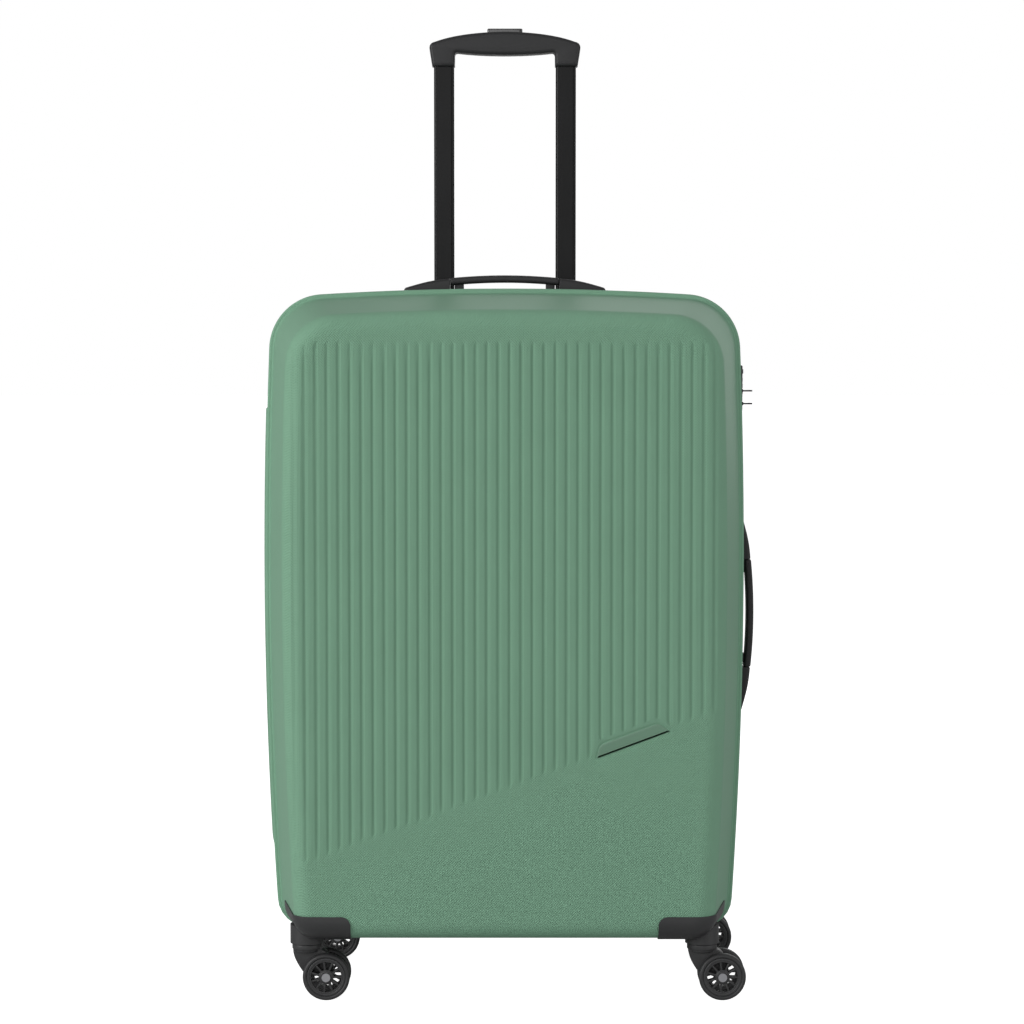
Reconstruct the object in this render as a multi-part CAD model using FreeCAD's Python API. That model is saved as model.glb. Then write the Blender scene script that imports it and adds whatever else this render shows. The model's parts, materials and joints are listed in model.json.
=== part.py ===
import FreeCAD, Part
import math
import os
from FreeCAD import Vector

# Hard shell suitcase on four swivel casters. Millimetres, +Z up, the ribbed front faces -Y,
# the seam between the two half shells is the plane y = 0, and the floor is z = 0.

# ---- shell: overall sizes ----
half_width = 260.5          # rim, at its widest, from the middle of the shell
shell_depth = 150.0         # seam to the flat panel, each half
shell_top = 756.0           # rim, at the middle
shell_bottom = 58.0         # rim, underside
widest_z = 452.0
side_radius = 5766.0        # bow of the sides
crown_radius = 3200.0       # bow of the top
top_corner = 60.0
bottom_corner = 32.0
side_draft = 10.3           # degrees
top_draft = 8.9
bottom_draft = 3.0
wall = 2.5
edge_round = 22.0           # between the panel and the walls

# ---- rim, zip and hinge strip ----
rim_near = 7.0              # from the seam plane to the rim's inner face
rim_far = 16.0              # and to its outer face, where the wall starts
rim_flare = 5.0             # how far the rim stands out from the wall
zip_recess = 4.0
tape_thick = 1.2
coil_proud = 1.0
coil_half = 2.5
seam_gap = 0.15             # each half, so that the halves are 0.3 apart
strip_proud = 1.5
strip_ends = (82.0, 128.0)   # in from the bottom and from the top
strip_reach = 14.0

# ---- ribs and badge ----
rib_pitch = 11.9
groove_width = 4.0
groove_deep = 0.9
rib_margin = 57.5           # outermost grooves end this far inside the rim
rib_below_top = 56.0
rib_line_up = 171.0         # slanting lower end at the middle, above the shell's bottom
rib_line_slope = 20.4       # degrees, up to the right
badge_length = 83.3
badge_height = 12.7
badge_lean = 9.4            # how far each end slants in over the height
badge_thick = 1.4
badge_sink = 0.9
badge_from_side = 127.3
badge_above_line = 4.1
underside_pad = (50.0, 42.0, 5.0)
underside_pad_in = 55.0     # from the panel

# ---- lining ----
lining_inset = 4.5          # clear of the shell's inner face
lining_thick = 1.2
trolley_room = 53.0         # behind the back lining, for the tubes
lining_floor_gap = 7.0      # front lining to the panel
lining_mouth = 8.0
free_gap = 0.3              # soft pieces and pieces of different bodies

# ---- carry handles ----
handle_y = 36.0
handle_half = 111.0
handle_wide = 26.0
handle_plate = 2.5
handle_high = 23.3
handle_side_drop = 357.0    # side handle's middle, below the shell's top
grip_half = 59.5
grip_thick = 8.0
grip_joint_gap = 0.6
leg_at = 50.0
leg_long = 10.0
leg_wide = 14.0
leg_gap = 0.4
lift = 12.0
hook_top = 17.8
hook_thick = 2.5
hook_wide = 20.0
screw_at = 84.0
screw_radius = 1.6
screw_head = 3.4

# ---- trolley ----
tube_x = 68.3
tube_in = 32.0              # tube's middle, in from the rear panel
tube_wide = 22.7
tube_deep = 14.0
tube_round = 3.5
tube_wall = 1.2
tube_fit = 0.3              # each side, inner tube in outer tube
outer_wall = 1.4
extension = 286.0           # how far the trolley stands out as modelled, and so its travel
tray_sink = 40.0
tray_thick = 2.5
tray_gap = 3.0
flange = 7.0
flange_thick = 1.8
foot_up = 14.0
foot_high = 14.0
foot_socket = 6.0
tube_overlap = 90.0         # inner tube left in the outer one when pulled out
parked_proud = 2.5          # grip above the shell's top when pushed in
grip_half_wide = 84.5
grip_leg_half = 81.4
grip_shoulder_drop = 14.5   # these four are below the grip's top
grip_leg_drop = 38.5
grip_under_drop = 25.9
grip_under_ends_drop = 23.1
grip_inside = 57.0
grip_deep = 28.0
grip_edge = 5.0
button_long = 39.5
button_deep = 11.0
button_proud = 3.9
button_travel = 3.0
button_fit = 0.35
yoke_high = 4.0
yoke_deep = 6.0
rod_radius = 1.5
latch_high = 40.0

# ---- lock ----
lock_top_drop = 83.5        # below the shell's top
lock_high = 50.0
lock_y = (8.0, 36.0)
lock_sunk = 0.5             # face, in from the shell's widest
lock_deep = 13.5
dial_radius = 6.0
dial_thick = 4.2
dial_pitch = 6.6
dial_drop = 22.5            # middle dial, below the lock's top
dial_y = 24.5
dial_proud = 1.4
pin_radius = 1.2
running_fit = 0.05
key_up = 9.5                # from the lock's bottom
key_radius = 4.0
release_drop = 6.7          # from the lock's top
release_size = (7.0, 5.0)
release_travel = 1.5

# ---- zip sliders and pulls ----
slider_drops = (27.5, 41.5) # below the lock's top
slider_half = 4.5
slider_wide = 11.0
slider_low = 2.4
slider_plate = 2.0
slider_lip = 0.9
lug_high = 2.8
lug_half = 1.9
tab_start = 3.0             # from the pull's pin, clear of the lug as it swings
pull_proud = 9.3            # past the shell's widest
pull_wide = 9.0
pull_thick = 1.6

# ---- corner guards and casters ----
guard_wide = 98.5
guard_high = 37.0
guard_long = 92.0
guard_thick = 1.5
guard_seat = 0.4            # recess in the flat panel that the guard's edge sits in
guard_corner = 10.0
caster_in_x = 50.0
caster_in_y = 45.0
cup_radius = 18.0
cup_up = 1.3                # above the shell's bottom
king_radius = 4.0
king_below = 16.3           # below the cup
king_into = 8.2             # into the cup
guard_screw_at = 11.0
king_head = 6.5
flange_radius = 16.0
fork_gap = 0.5              # under the cup
fork_top_thick = 6.3
fork_half = 7.5
trail = 21.0
wheel_radius = 25.0
wheel_wide = 11.0
wheel_gap = 0.9
axle_radius = 3.0
hub_radius = 6.8
tyre_inner = 20.0
opening_radius = 17.7
spokes = 11
spoke_wide = 1.6

os.makedirs("parts", exist_ok=True)

# ---- places worked out from the sizes above ----
strip_low = shell_bottom + strip_ends[0]
strip_high = shell_top - strip_ends[1]
rib_span = half_width - rib_margin
rib_top = shell_top - rib_below_top
rib_line_mid = shell_bottom + rib_line_up
badge_x = half_width - badge_from_side
underside_pad_y = shell_depth - underside_pad_in
lining_floor_back = shell_depth - trolley_room
lining_floor_front = shell_depth - lining_floor_gap
handle_side_z = shell_top - handle_side_drop
tube_y = shell_depth - tube_in
tray_floor = shell_top - tray_sink
foot_z = shell_bottom + foot_up
outer_low = foot_z + foot_high - foot_socket
inner_low = tray_floor - tube_overlap
grip_top = shell_top + parked_proud + extension
grip_shoulder = grip_top - grip_shoulder_drop
grip_leg_low = grip_top - grip_leg_drop
grip_under = grip_top - grip_under_drop
grip_under_ends = grip_top - grip_under_ends_drop
lock_z = (shell_top - lock_top_drop - lock_high, shell_top - lock_top_drop)
lock_face = half_width - lock_sunk
dial_middle = lock_z[1] - dial_drop
dial_zs = (dial_middle + dial_pitch, dial_middle, dial_middle - dial_pitch)
key_z = lock_z[0] + key_up
release_z = lock_z[1] - release_drop
slider_zs = (lock_z[1] - slider_drops[0], lock_z[1] - slider_drops[1])
pull_reach = half_width + pull_proud
guard_inner_x = half_width - guard_wide
guard_top = shell_bottom + guard_high
guard_y = shell_depth - guard_long
caster_x = half_width - caster_in_x
caster_y = shell_depth - caster_in_y
cup_low = shell_bottom + cup_up
king_low = cup_low - king_below
king_top = cup_low + king_into
fork_top = cup_low - fork_gap
fork_shelf = fork_top - fork_top_thick

# the hinge strip and the side handle reach out unequally, so the shell's middle is shifted
side_handle_reach = half_width - rim_flare - (handle_y - rim_far) * math.tan(math.radians(side_draft))
side_handle_reach += handle_high
datum_x = (half_width + strip_proud - side_handle_reach) / 2.0

up = Vector(0, 0, 1)
right = Vector(1, 0, 0)
backward = Vector(0, 1, 0)


def box(x, y, z):
    """A block from its low and high values along each axis."""
    return Part.makeBox(x[1] - x[0], y[1] - y[0], z[1] - z[0], Vector(x[0], y[0], z[0]))


def rod(radius, start, end):
    """A round bar from one point to another."""
    along = end.sub(start)
    return Part.makeCylinder(radius, along.Length, start, along)


def fuse(shapes):
    """One shape from several, with the seams between flush faces removed."""
    first = shapes[0]
    return first.multiFuse(shapes[1:]).removeSplitter()


def flip_front(shape):
    """The same shape on the other side of the seam plane."""
    return shape.mirror(Vector(0, 0, 0), backward)


def arc(a, b, c):
    return Part.Arc(a, b, c).toShape()


def depth_inset(y, angle):
    """How far a drafted wall has come in at a distance y from the seam plane."""
    return max(0.0, y - rim_far) * math.tan(math.radians(angle))


def outline(y, inset):
    """The case's outline at y: bowed sides, crowned top, flat bottom, sharp corners."""
    side_r = side_radius - inset - depth_inset(y, side_draft)
    crown_r = crown_radius - inset - depth_inset(y, top_draft)
    low = shell_bottom + inset + depth_inset(y, bottom_draft)
    side_c = half_width - side_radius
    crown_c = shell_top - crown_radius

    def side_x(z):
        return side_c + math.sqrt(side_r ** 2 - (z - widest_z) ** 2)

    def crown_z(x):
        return crown_c + math.sqrt(crown_r ** 2 - x ** 2)

    corner_x = half_width
    for step in range(8):
        corner_x = side_x(crown_z(corner_x))
    corner_z = crown_z(corner_x)
    foot_x = side_x(low)
    a = Vector(foot_x, y, low)
    b = Vector(corner_x, y, corner_z)
    c = Vector(-corner_x, y, corner_z)
    d = Vector(-foot_x, y, low)
    edges = [arc(a, Vector(side_x(widest_z), y, widest_z), b),
             arc(b, Vector(0, y, crown_c + crown_r), c),
             arc(c, Vector(-side_x(widest_z), y, widest_z), d),
             Part.makeLine(d, a)]
    return Part.Wire(edges)


def surface_x(y, z, inset):
    """Where the right wall is at a depth and a height."""
    side_r = side_radius - inset - depth_inset(y, side_draft)
    return half_width - side_radius + math.sqrt(side_r ** 2 - (z - widest_z) ** 2)


def surface_z(x, y, inset):
    """Where the top wall is at a place across and a depth."""
    crown_r = crown_radius - inset - depth_inset(y, top_draft)
    return shell_top - crown_radius + math.sqrt(crown_r ** 2 - x ** 2)


def runs_in_depth(edge):
    ends = [v.Point for v in edge.Vertexes]
    return len(ends) == 2 and abs(ends[0].y - ends[1].y) > 1.0


def pillow(y0, y1, inset, rounded=True):
    """A block that follows the case's walls, with rounded corners and a rounded panel edge."""
    body = Part.makeLoft([outline(y0, inset), outline(y1, inset)], True, True)
    middle = (shell_top + shell_bottom) / 2.0
    long_edges = [e for e in body.Edges if runs_in_depth(e)]
    high = [e for e in long_edges if e.CenterOfMass.z > middle]
    low = [e for e in long_edges if e.CenterOfMass.z < middle]
    body = body.makeFillet(top_corner - inset, high)
    long_edges = [e for e in body.Edges if runs_in_depth(e)]
    sharp = []
    for e in long_edges:
        for f in low:
            if e.CenterOfMass.distanceToPoint(f.CenterOfMass) < 1.0:
                sharp.append(e)
    body = body.makeFillet(bottom_corner - inset, sharp)
    if rounded:
        rim = [e for e in body.Edges if abs(e.BoundBox.YMin - y1) < 0.01 and abs(e.BoundBox.YMax - y1) < 0.01]
        body = body.makeFillet(edge_round + rim_flare - inset, rim)
    return body


def ring(y0, y1, outer_inset, inner_inset):
    """A band round the case near the seam, where the walls have no draft."""
    outer = pillow(y0, y1, outer_inset, False)
    inner = pillow(y0 - 1.0, y1 + 1.0, inner_inset, False)
    return outer.cut(inner)


hull_outer = pillow(rim_far, shell_depth, rim_flare)
hull_inner = pillow(rim_far, shell_depth - wall, rim_flare + wall)
rim_band = ring(rim_near, rim_far, 0.0, rim_flare + wall)


def guard_zone(side, y0):
    """What lies inside a corner guard's outline, from a depth on."""
    xs = sorted((side * guard_inner_x, side * (half_width + 20)))
    zone = box(tuple(xs), (y0, shell_depth + 10), (0, guard_top))
    corner = [e for e in zone.Edges if abs(e.CenterOfMass.x - side * guard_inner_x) < 0.1
              and abs(e.CenterOfMass.z - guard_top) < 0.1]
    return zone.makeFillet(guard_corner, corner)


hull_seated = hull_outer
for side in (-1, 1):
    hull_seated = hull_seated.cut(guard_zone(side, shell_depth - guard_seat))
half_shell = fuse([hull_seated.cut(hull_inner), rim_band])


# ---- ribs: shallow upright grooves, cut off below along a slanting line ----
def rib_end(x):
    return rib_line_mid + x * math.tan(math.radians(rib_line_slope))


def grooves():
    count = int(rib_span / rib_pitch)
    shapes = []
    for i in range(-count, count):
        x = (i + 0.5) * rib_pitch
        half = groove_width / 2.0
        low = rib_end(x) + half
        high = rib_top - half
        y = (-shell_depth - 1.0, -shell_depth + groove_deep)
        shapes.append(box((x - half, x + half), y, (low, high)))
        for z in (low, high):
            shapes.append(rod(half, Vector(x, y[0], z), Vector(x, y[1], z)))
    return fuse(shapes)


rib_grooves = grooves()


# ---- badge: a blank plate with slanted ends, in a shallow seat ----
def badge_plate(grow, y0, y1):
    slope = math.radians(rib_line_slope)
    along = Vector(math.cos(slope), 0, math.sin(slope))
    across = Vector(-math.sin(slope), 0, math.cos(slope))
    middle = Vector(badge_x, 0, rib_end(badge_x) + badge_above_line)
    half = badge_length / 2.0 + grow
    high = badge_height / 2.0 + grow
    corners = [(-half, -high), (half, -high), (half - badge_lean, high), (-half + badge_lean, high)]
    points = [middle + along * u + across * w for u, w in corners]
    points = [Vector(p.x, y0, p.z) for p in points]
    plate = Part.Face(Part.makePolygon(points + points[:1])).extrude(Vector(0, y1 - y0, 0))
    upright = [e for e in plate.Edges if runs_in_thickness(e)]
    return plate.makeFillet(2.0 + grow, upright)


def runs_in_thickness(edge):
    return edge.BoundBox.YLength > max(edge.BoundBox.XLength, edge.BoundBox.ZLength)


badge = badge_plate(0.0, -shell_depth - badge_thick + badge_sink, -shell_depth + badge_sink)
badge_seat = badge_plate(0.0, -shell_depth - 1.0, -shell_depth + badge_sink)


# ---- carry handle in its own axes: u along, v across, w out of the wall; made once, used twice ----
def handle_cap_profile(sign):
    """Side view of one end cap: high beside the grip, low at its outer end."""
    inner = grip_half + grip_joint_gap
    end_drop = 5.5
    a = Vector(sign * inner, 0, -handle_plate * 3)
    b = Vector(sign * inner, 0, handle_high - 3.6)
    c = Vector(sign * (handle_half - 3.0), 0, end_drop + 1.5)
    d = Vector(sign * handle_half, 0, end_drop - 2.0)
    e = Vector(sign * handle_half, 0, -handle_plate * 3)
    mid = Vector(sign * (inner + handle_half) / 2.0, 0, (b.z + c.z) / 2.0 + 1.2)
    return Part.Wire([Part.makeLine(a, b), arc(b, mid, c), Part.makeLine(c, d), Part.makeLine(d, e),
                      Part.makeLine(e, a)])


def handle_base():
    half = handle_wide / 2.0
    plate = box((-handle_half, handle_half), (-half, half), (-handle_plate * 3, handle_plate))
    caps = []
    for sign in (-1, 1):
        face = Part.Face(handle_cap_profile(sign))
        cap = face.extrude(Vector(0, handle_wide, 0))
        cap.translate(Vector(0, -half, 0))
        caps.append(cap)
    body = fuse([plate] + caps)
    for sign in (-1, 1):
        slot_u = leg_long / 2.0 + leg_gap
        slot_v = leg_wide / 2.0 + leg_gap
        slot = box((sign * leg_at - slot_u, sign * leg_at + slot_u), (-slot_v, slot_v), (-20, handle_plate + 1))
        body = body.cut(slot)
    return body


def handle_grip():
    half = handle_wide / 2.0 - 1.0
    low = handle_high - grip_thick
    a = Vector(-grip_half, -half, low)
    b = Vector(-grip_half, -half, handle_high - 3.0)
    c = Vector(0, -half, handle_high)
    d = Vector(grip_half, -half, handle_high - 3.0)
    e = Vector(grip_half, -half, low)
    wire = Part.Wire([Part.makeLine(a, b), arc(b, c, d), Part.makeLine(d, e), Part.makeLine(e, a)])
    bar = Part.Face(wire).extrude(Vector(0, 2 * half, 0))
    long_edges = [edge for edge in bar.Edges if edge.BoundBox.XLength > grip_half]
    bar = bar.makeFillet(2.4, long_edges)
    pieces = [bar]
    for sign in (-1, 1):
        u = (sign * leg_at - leg_long / 2.0, sign * leg_at + leg_long / 2.0)
        pieces.append(box(u, (-leg_wide / 2.0, leg_wide / 2.0), (-hook_top - hook_thick, low + 1.0)))
        pieces.append(box(u, (-hook_wide / 2.0, hook_wide / 2.0), (-hook_top - hook_thick, -hook_top)))
    return fuse(pieces)


def handle_slots():
    """What the wall loses to the two legs of a handle."""
    cuts = []
    for sign in (-1, 1):
        slot_u = leg_long / 2.0 + leg_gap
        slot_v = leg_wide / 2.0 + leg_gap
        cuts.append(box((sign * leg_at - slot_u, sign * leg_at + slot_u), (-slot_v, slot_v), (-20, 6)))
    return Part.makeCompound(cuts)


def handle_screws():
    screws = []
    for sign in (-1, 1):
        u = sign * screw_at
        shank = rod(screw_radius, Vector(u, 0, -6.0), Vector(u, 0, 4.5))
        head = rod(screw_head, Vector(u, 0, -6.3), Vector(u, 0, -4.4))
        screws.append(shank.fuse(head).removeSplitter())
    return Part.makeCompound(screws)


def screw_holes():
    cuts = [rod(screw_radius, Vector(s * screw_at, 0, -6.0), Vector(s * screw_at, 0, 4.5)) for s in (-1, 1)]
    return Part.makeCompound(cuts)


handle_top_z = surface_z(0, handle_y, rim_flare)
handle_side_x = surface_x(handle_y, handle_side_z, rim_flare)


def on_top(shape):
    placed = shape.copy()
    placed.translate(Vector(0, handle_y, handle_top_z))
    return placed


def on_side(shape):
    placed = shape.copy()
    placed.rotate(Vector(0, 0, 0), backward, 90)
    placed.translate(Vector(handle_side_x, handle_y, handle_side_z))
    return placed


# ---- lock on the right, beside the zip ----
lock_back = lock_face - lock_deep
dial_x = lock_face - dial_radius + dial_proud


def lock_block():
    block = box((lock_back, lock_face), lock_y, lock_z)
    outer = [e for e in block.Edges if e.BoundBox.XMin > lock_face - 0.1]
    return block.makeFillet(1.5, outer)


lock_envelope = box((lock_back - 5.0, lock_face + 1.0), lock_y, lock_z)
lock_body = lock_block()
dials = []
for z in dial_zs:
    reach = dial_radius + free_gap
    half = dial_thick / 2.0 + free_gap
    slot = box((dial_x - reach, lock_face + 2), (dial_y - reach, dial_y + reach), (z - half, z + half))
    lock_body = lock_body.cut(slot)
    disc = rod(dial_radius, Vector(dial_x, dial_y, z - dial_thick / 2.0), Vector(dial_x, dial_y, z + dial_thick / 2.0))
    bore = rod(pin_radius + running_fit, Vector(dial_x, dial_y, z - 5), Vector(dial_x, dial_y, z + 5))
    dials.append(disc.cut(bore))
dial_pin = rod(pin_radius, Vector(dial_x, dial_y, dial_zs[-1] - dial_thick), Vector(dial_x, dial_y, dial_zs[0] + dial_thick))
key_bore = rod(key_radius + running_fit, Vector(lock_back + 3, dial_y, key_z), Vector(lock_face + 1, dial_y, key_z))
release_y = (dial_y - release_size[0] / 2.0, dial_y + release_size[0] / 2.0)
release_zs = (release_z - release_size[1] / 2.0, release_z + release_size[1] / 2.0)
release_out = lock_face + release_travel + 0.2
release_in = lock_face - 3.0
release_pocket = box((release_in - release_travel - 0.5, lock_face + 1),
                     (release_y[0] - free_gap, release_y[1] + free_gap),
                     (release_zs[0] - free_gap, release_zs[1] + free_gap))
lock_body = lock_body.cut(key_bore).cut(release_pocket).fuse(dial_pin)
for z in slider_zs:
    lock_body = lock_body.cut(box((lock_face - 5, lock_face + 1), (lock_y[0] - 1, lock_y[0] + 5), (z - 2.5, z + 2.5)))
lock_screws = []
for z in (lock_z[0] + 4.0, lock_z[1] - 3.0):
    spot = Vector(lock_back, lock_y[1] - 4.0, z)
    lock_screws.append(rod(screw_radius, spot - right * 1.0, spot + right * 6.0))
    lock_body = lock_body.cut(rod(screw_radius, spot, spot + right * 6.0))
key_cylinder = rod(key_radius, Vector(lock_back + 3.3, dial_y, key_z), Vector(lock_face + 0.4, dial_y, key_z))
key_cylinder = key_cylinder.cut(box((lock_face - 4, lock_face + 1), (dial_y - 0.5, dial_y + 0.5), (key_z - 2.6, key_z + 2.6)))
lock_release = box((release_in, release_out), release_y, release_zs)
lock_release = lock_release.makeFillet(0.6, [e for e in lock_release.Edges if e.BoundBox.XMin > release_out - 0.1])

# ---- zip: a tape with half of the coil on each side, and the hinge strip in its gap at the left ----
strip_zone = box((-half_width - 20, -half_width / 2.0), (-30, 30), (strip_low, strip_high))
zip_tape = ring(seam_gap, rim_near, zip_recess, zip_recess + tape_thick)
zip_coil = ring(seam_gap, coil_half, zip_recess - coil_proud, zip_recess)
zip_half = fuse([zip_tape, zip_coil]).cut(strip_zone)
strip_outer = ring(seam_gap, strip_reach, -strip_proud, 0.0).common(strip_zone)
strip_web = ring(seam_gap, rim_near, 0.0, zip_recess + tape_thick).common(strip_zone)
strip_half = fuse([strip_outer, strip_web])


def slider(z, sign):
    """A slider on the coil, made upright at its height and then leaned along the bowed side."""
    face = surface_x(0, z, 0)
    low = face - slider_low
    high = low + slider_plate
    half = slider_wide / 2.0
    plate = box((low, high), (-half, half), (z - slider_half, z + slider_half))
    plate = plate.makeFillet(1.2, [e for e in plate.Edges if abs(e.BoundBox.XLength - slider_plate) < 0.01])
    lip = box((low - slider_lip, low + 0.1), (half - 0.9, half), (z - slider_half + 1.5, z + slider_half - 1.5))
    lug = box((high - 0.1, high + lug_high), (-1.2, 1.2), (z - lug_half, z + lug_half))
    body = fuse([plate, lip, lug])
    eye = Vector(high + lug_high - 1.4, 0, z)
    body = body.cut(rod(0.9 + running_fit, eye - backward * 3, eye + backward * 3))
    return body, eye


def pull(eye):
    """A flat tab that stands out from its slider, with a forked end and a finger hole."""
    half = pull_wide / 2.0
    tab = box((eye.x + tab_start, pull_reach), (-half, half), (eye.z - pull_thick / 2.0, eye.z + pull_thick / 2.0))
    tab = tab.makeFillet(2.5, [e for e in tab.Edges if abs(e.BoundBox.ZLength - pull_thick) < 0.01
                               and e.BoundBox.XMin > pull_reach - 0.1])
    hole_x = (eye.x + tab_start + pull_reach) / 2.0 + 0.6
    tab = tab.cut(rod(2.2, Vector(hole_x, 0, eye.z - 3), Vector(hole_x, 0, eye.z + 3)))
    parts = [tab]
    for sign in (-1, 1):
        ys = sorted((sign * (1.2 + free_gap), sign * 3.3))
        parts.append(box((eye.x - 1.0, eye.x + tab_start + 0.4), tuple(ys), (eye.z - 0.8, eye.z + 0.8)))
    parts.append(rod(0.9, eye - backward * 2.0, eye + backward * 2.0))
    return fuse(parts)


# ---- trolley ----
def oblong(wide, deep, radius, z0, z1, x):
    """An upright tube's solid core with rounded edges."""
    body = box((x - wide / 2.0, x + wide / 2.0), (tube_y - deep / 2.0, tube_y + deep / 2.0), (z0, z1))
    return body.makeFillet(radius, [e for e in body.Edges if abs(e.BoundBox.ZLength - (z1 - z0)) < 0.01])


def tube(wide, deep, radius, thick, z0, z1, x):
    outer = oblong(wide, deep, radius, z0, z1, x)
    return outer.cut(oblong(wide - 2 * thick, deep - 2 * thick, radius - thick, z0 - 1, z1 + 1, x))


outer_wide = tube_wide + 2 * (tube_fit + outer_wall)
outer_deep = tube_deep + 2 * (tube_fit + outer_wall)
outer_round = tube_round + tube_fit + outer_wall
socket_depth = 14.0
inner_tubes = []
outer_tubes = []
latches = []
for sign in (-1, 1):
    x = sign * tube_x
    inner_tubes.append(tube(tube_wide, tube_deep, tube_round, tube_wall, inner_low, grip_leg_low + socket_depth, x))
    outer_tubes.append(tube(outer_wide, outer_deep, outer_round, outer_wall, outer_low, tray_floor, x))
    block = oblong(tube_wide - 2 * tube_wall, tube_deep - 2 * tube_wall, tube_round - tube_wall,
                   inner_low, inner_low + latch_high, x)
    well = rod(rod_radius + 1.0, Vector(x, tube_y, inner_low + 12), Vector(x, tube_y, inner_low + latch_high + 1))
    latches.append(block.cut(well))
latch_blocks = Part.makeCompound(latches)

outer_holes = Part.makeCompound([oblong(outer_wide, outer_deep, outer_round, outer_low, tray_floor, s * tube_x)
                                 for s in (-1, 1)])
foot_half = tube_x + outer_wide / 2.0 + 7.0
trolley_foot = box((-foot_half, foot_half), (tube_y - 12, tube_y + 12), (foot_z, foot_z + foot_high))
trolley_foot = trolley_foot.cut(outer_holes)
for sign in (-1, 1):
    post = box((sign * 40 - 7, sign * 40 + 7), (tube_y - 9, tube_y + 9), (shell_bottom + rim_flare, foot_z + 1))
    trolley_foot = trolley_foot.fuse(post)
trolley_foot = trolley_foot.common(hull_inner).removeSplitter()

tray_x = grip_half_wide + tray_gap
tray_y = grip_deep / 2.0 + tray_gap
tray_low = tray_floor - tray_thick
cup = box((-tray_x - tray_thick, tray_x + tray_thick),
          (tube_y - tray_y - tray_thick, tube_y + tray_y + tray_thick), (tray_low, shell_top))
cup_space = box((-tray_x, tray_x), (tube_y - tray_y, tube_y + tray_y), (tray_floor, shell_top + 20))
lip_zone = box((-tray_x - flange, tray_x + flange), (tube_y - tray_y - flange, tube_y + tray_y + flange),
               (tray_floor - 40.0, shell_top + 20))
lip_hull = pillow(rim_far, shell_depth + flange_thick, rim_flare - flange_thick)
tray_lip = lip_zone.common(lip_hull).cut(hull_outer)
tray_cup = cup.common(lip_hull)
trolley_tray = fuse([tray_cup, tray_lip]).cut(cup_space).cut(outer_holes)
tray_opening = cup


def grip_profile():
    """Front view of the grip: arched top, sloping shoulders, legs over the tubes, bulged underside."""
    def at(x, z):
        return Vector(x, tube_y - grip_deep / 2.0, z)
    shoulder = grip_shoulder - 2.0
    edges = [arc(at(-grip_half_wide + 4, grip_shoulder + 3.2), at(0, grip_top), at(grip_half_wide - 4, grip_shoulder + 3.2)),
             arc(at(grip_half_wide - 4, grip_shoulder + 3.2), at(grip_half_wide - 0.8, grip_shoulder + 0.6),
                 at(grip_half_wide, shoulder - 2)),
             Part.makeLine(at(grip_half_wide, shoulder - 2), at(grip_leg_half, grip_leg_low)),
             Part.makeLine(at(grip_leg_half, grip_leg_low), at(grip_inside - 0.6, grip_leg_low)),
             Part.makeLine(at(grip_inside - 0.6, grip_leg_low), at(grip_inside - 1, grip_under_ends - 3)),
             arc(at(grip_inside - 1, grip_under_ends - 3), at(grip_inside - 1.9, grip_under_ends - 0.9),
                 at(grip_inside - 4, grip_under_ends)),
             arc(at(grip_inside - 4, grip_under_ends), at(0, grip_under), at(-grip_inside + 4, grip_under_ends)),
             arc(at(-grip_inside + 4, grip_under_ends), at(-grip_inside + 1.9, grip_under_ends - 0.9),
                 at(-grip_inside + 1, grip_under_ends - 3)),
             Part.makeLine(at(-grip_inside + 1, grip_under_ends - 3), at(-grip_inside + 0.6, grip_leg_low)),
             Part.makeLine(at(-grip_inside + 0.6, grip_leg_low), at(-grip_leg_half, grip_leg_low)),
             Part.makeLine(at(-grip_leg_half, grip_leg_low), at(-grip_half_wide, shoulder - 2)),
             arc(at(-grip_half_wide, shoulder - 2), at(-grip_half_wide + 0.8, grip_shoulder + 0.6),
                 at(-grip_half_wide + 4, grip_shoulder + 3.2))]
    return Part.Wire(edges)


def is_long_on_face(edge, y):
    return abs(edge.BoundBox.YMin - y) < 0.01 and abs(edge.BoundBox.YMax - y) < 0.01


def is_outside_of_grip(edge):
    middle = edge.CenterOfMass
    return abs(middle.x) > grip_leg_half or middle.z > grip_under_ends + 5.0


trolley_grip = Part.Face(grip_profile()).extrude(Vector(0, grip_deep, 0))
for y in (tube_y - grip_deep / 2.0, tube_y + grip_deep / 2.0):
    rims = [e for e in trolley_grip.Edges if is_long_on_face(e, y) and is_outside_of_grip(e)]
    trolley_grip = trolley_grip.makeFillet(grip_edge, rims)
yoke_low = grip_under + 4.5
yoke_room = box((-tube_x - 5, tube_x + 5), (tube_y - yoke_deep / 2.0 - 1, tube_y + yoke_deep / 2.0 + 1),
                (yoke_low - button_travel - 0.6, yoke_low + yoke_high + 0.6))
button_hole = box((-button_long / 2.0 - button_fit, button_long / 2.0 + button_fit),
                  (tube_y - button_deep / 2.0 - button_fit, tube_y + button_deep / 2.0 + button_fit),
                  (yoke_low + yoke_high - button_travel - 0.6, grip_top + 5))
trolley_grip = trolley_grip.cut(yoke_room).cut(button_hole)
for sign in (-1, 1):
    x = sign * tube_x
    socket = oblong(tube_wide, tube_deep, tube_round, grip_leg_low - 1, grip_leg_low + socket_depth, x)
    trolley_grip = trolley_grip.cut(socket)
    throat = rod(rod_radius + 1.0, Vector(x, tube_y, grip_leg_low), Vector(x, tube_y, yoke_low + 1))
    trolley_grip = trolley_grip.cut(throat)
button_top = grip_top + button_proud
trolley_button = box((-button_long / 2.0, button_long / 2.0),
                     (tube_y - button_deep / 2.0, tube_y + button_deep / 2.0), (yoke_low + yoke_high, button_top))
trolley_button = trolley_button.makeFillet(1.0, [e for e in trolley_button.Edges if e.BoundBox.ZMin > button_top - 0.1])
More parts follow.
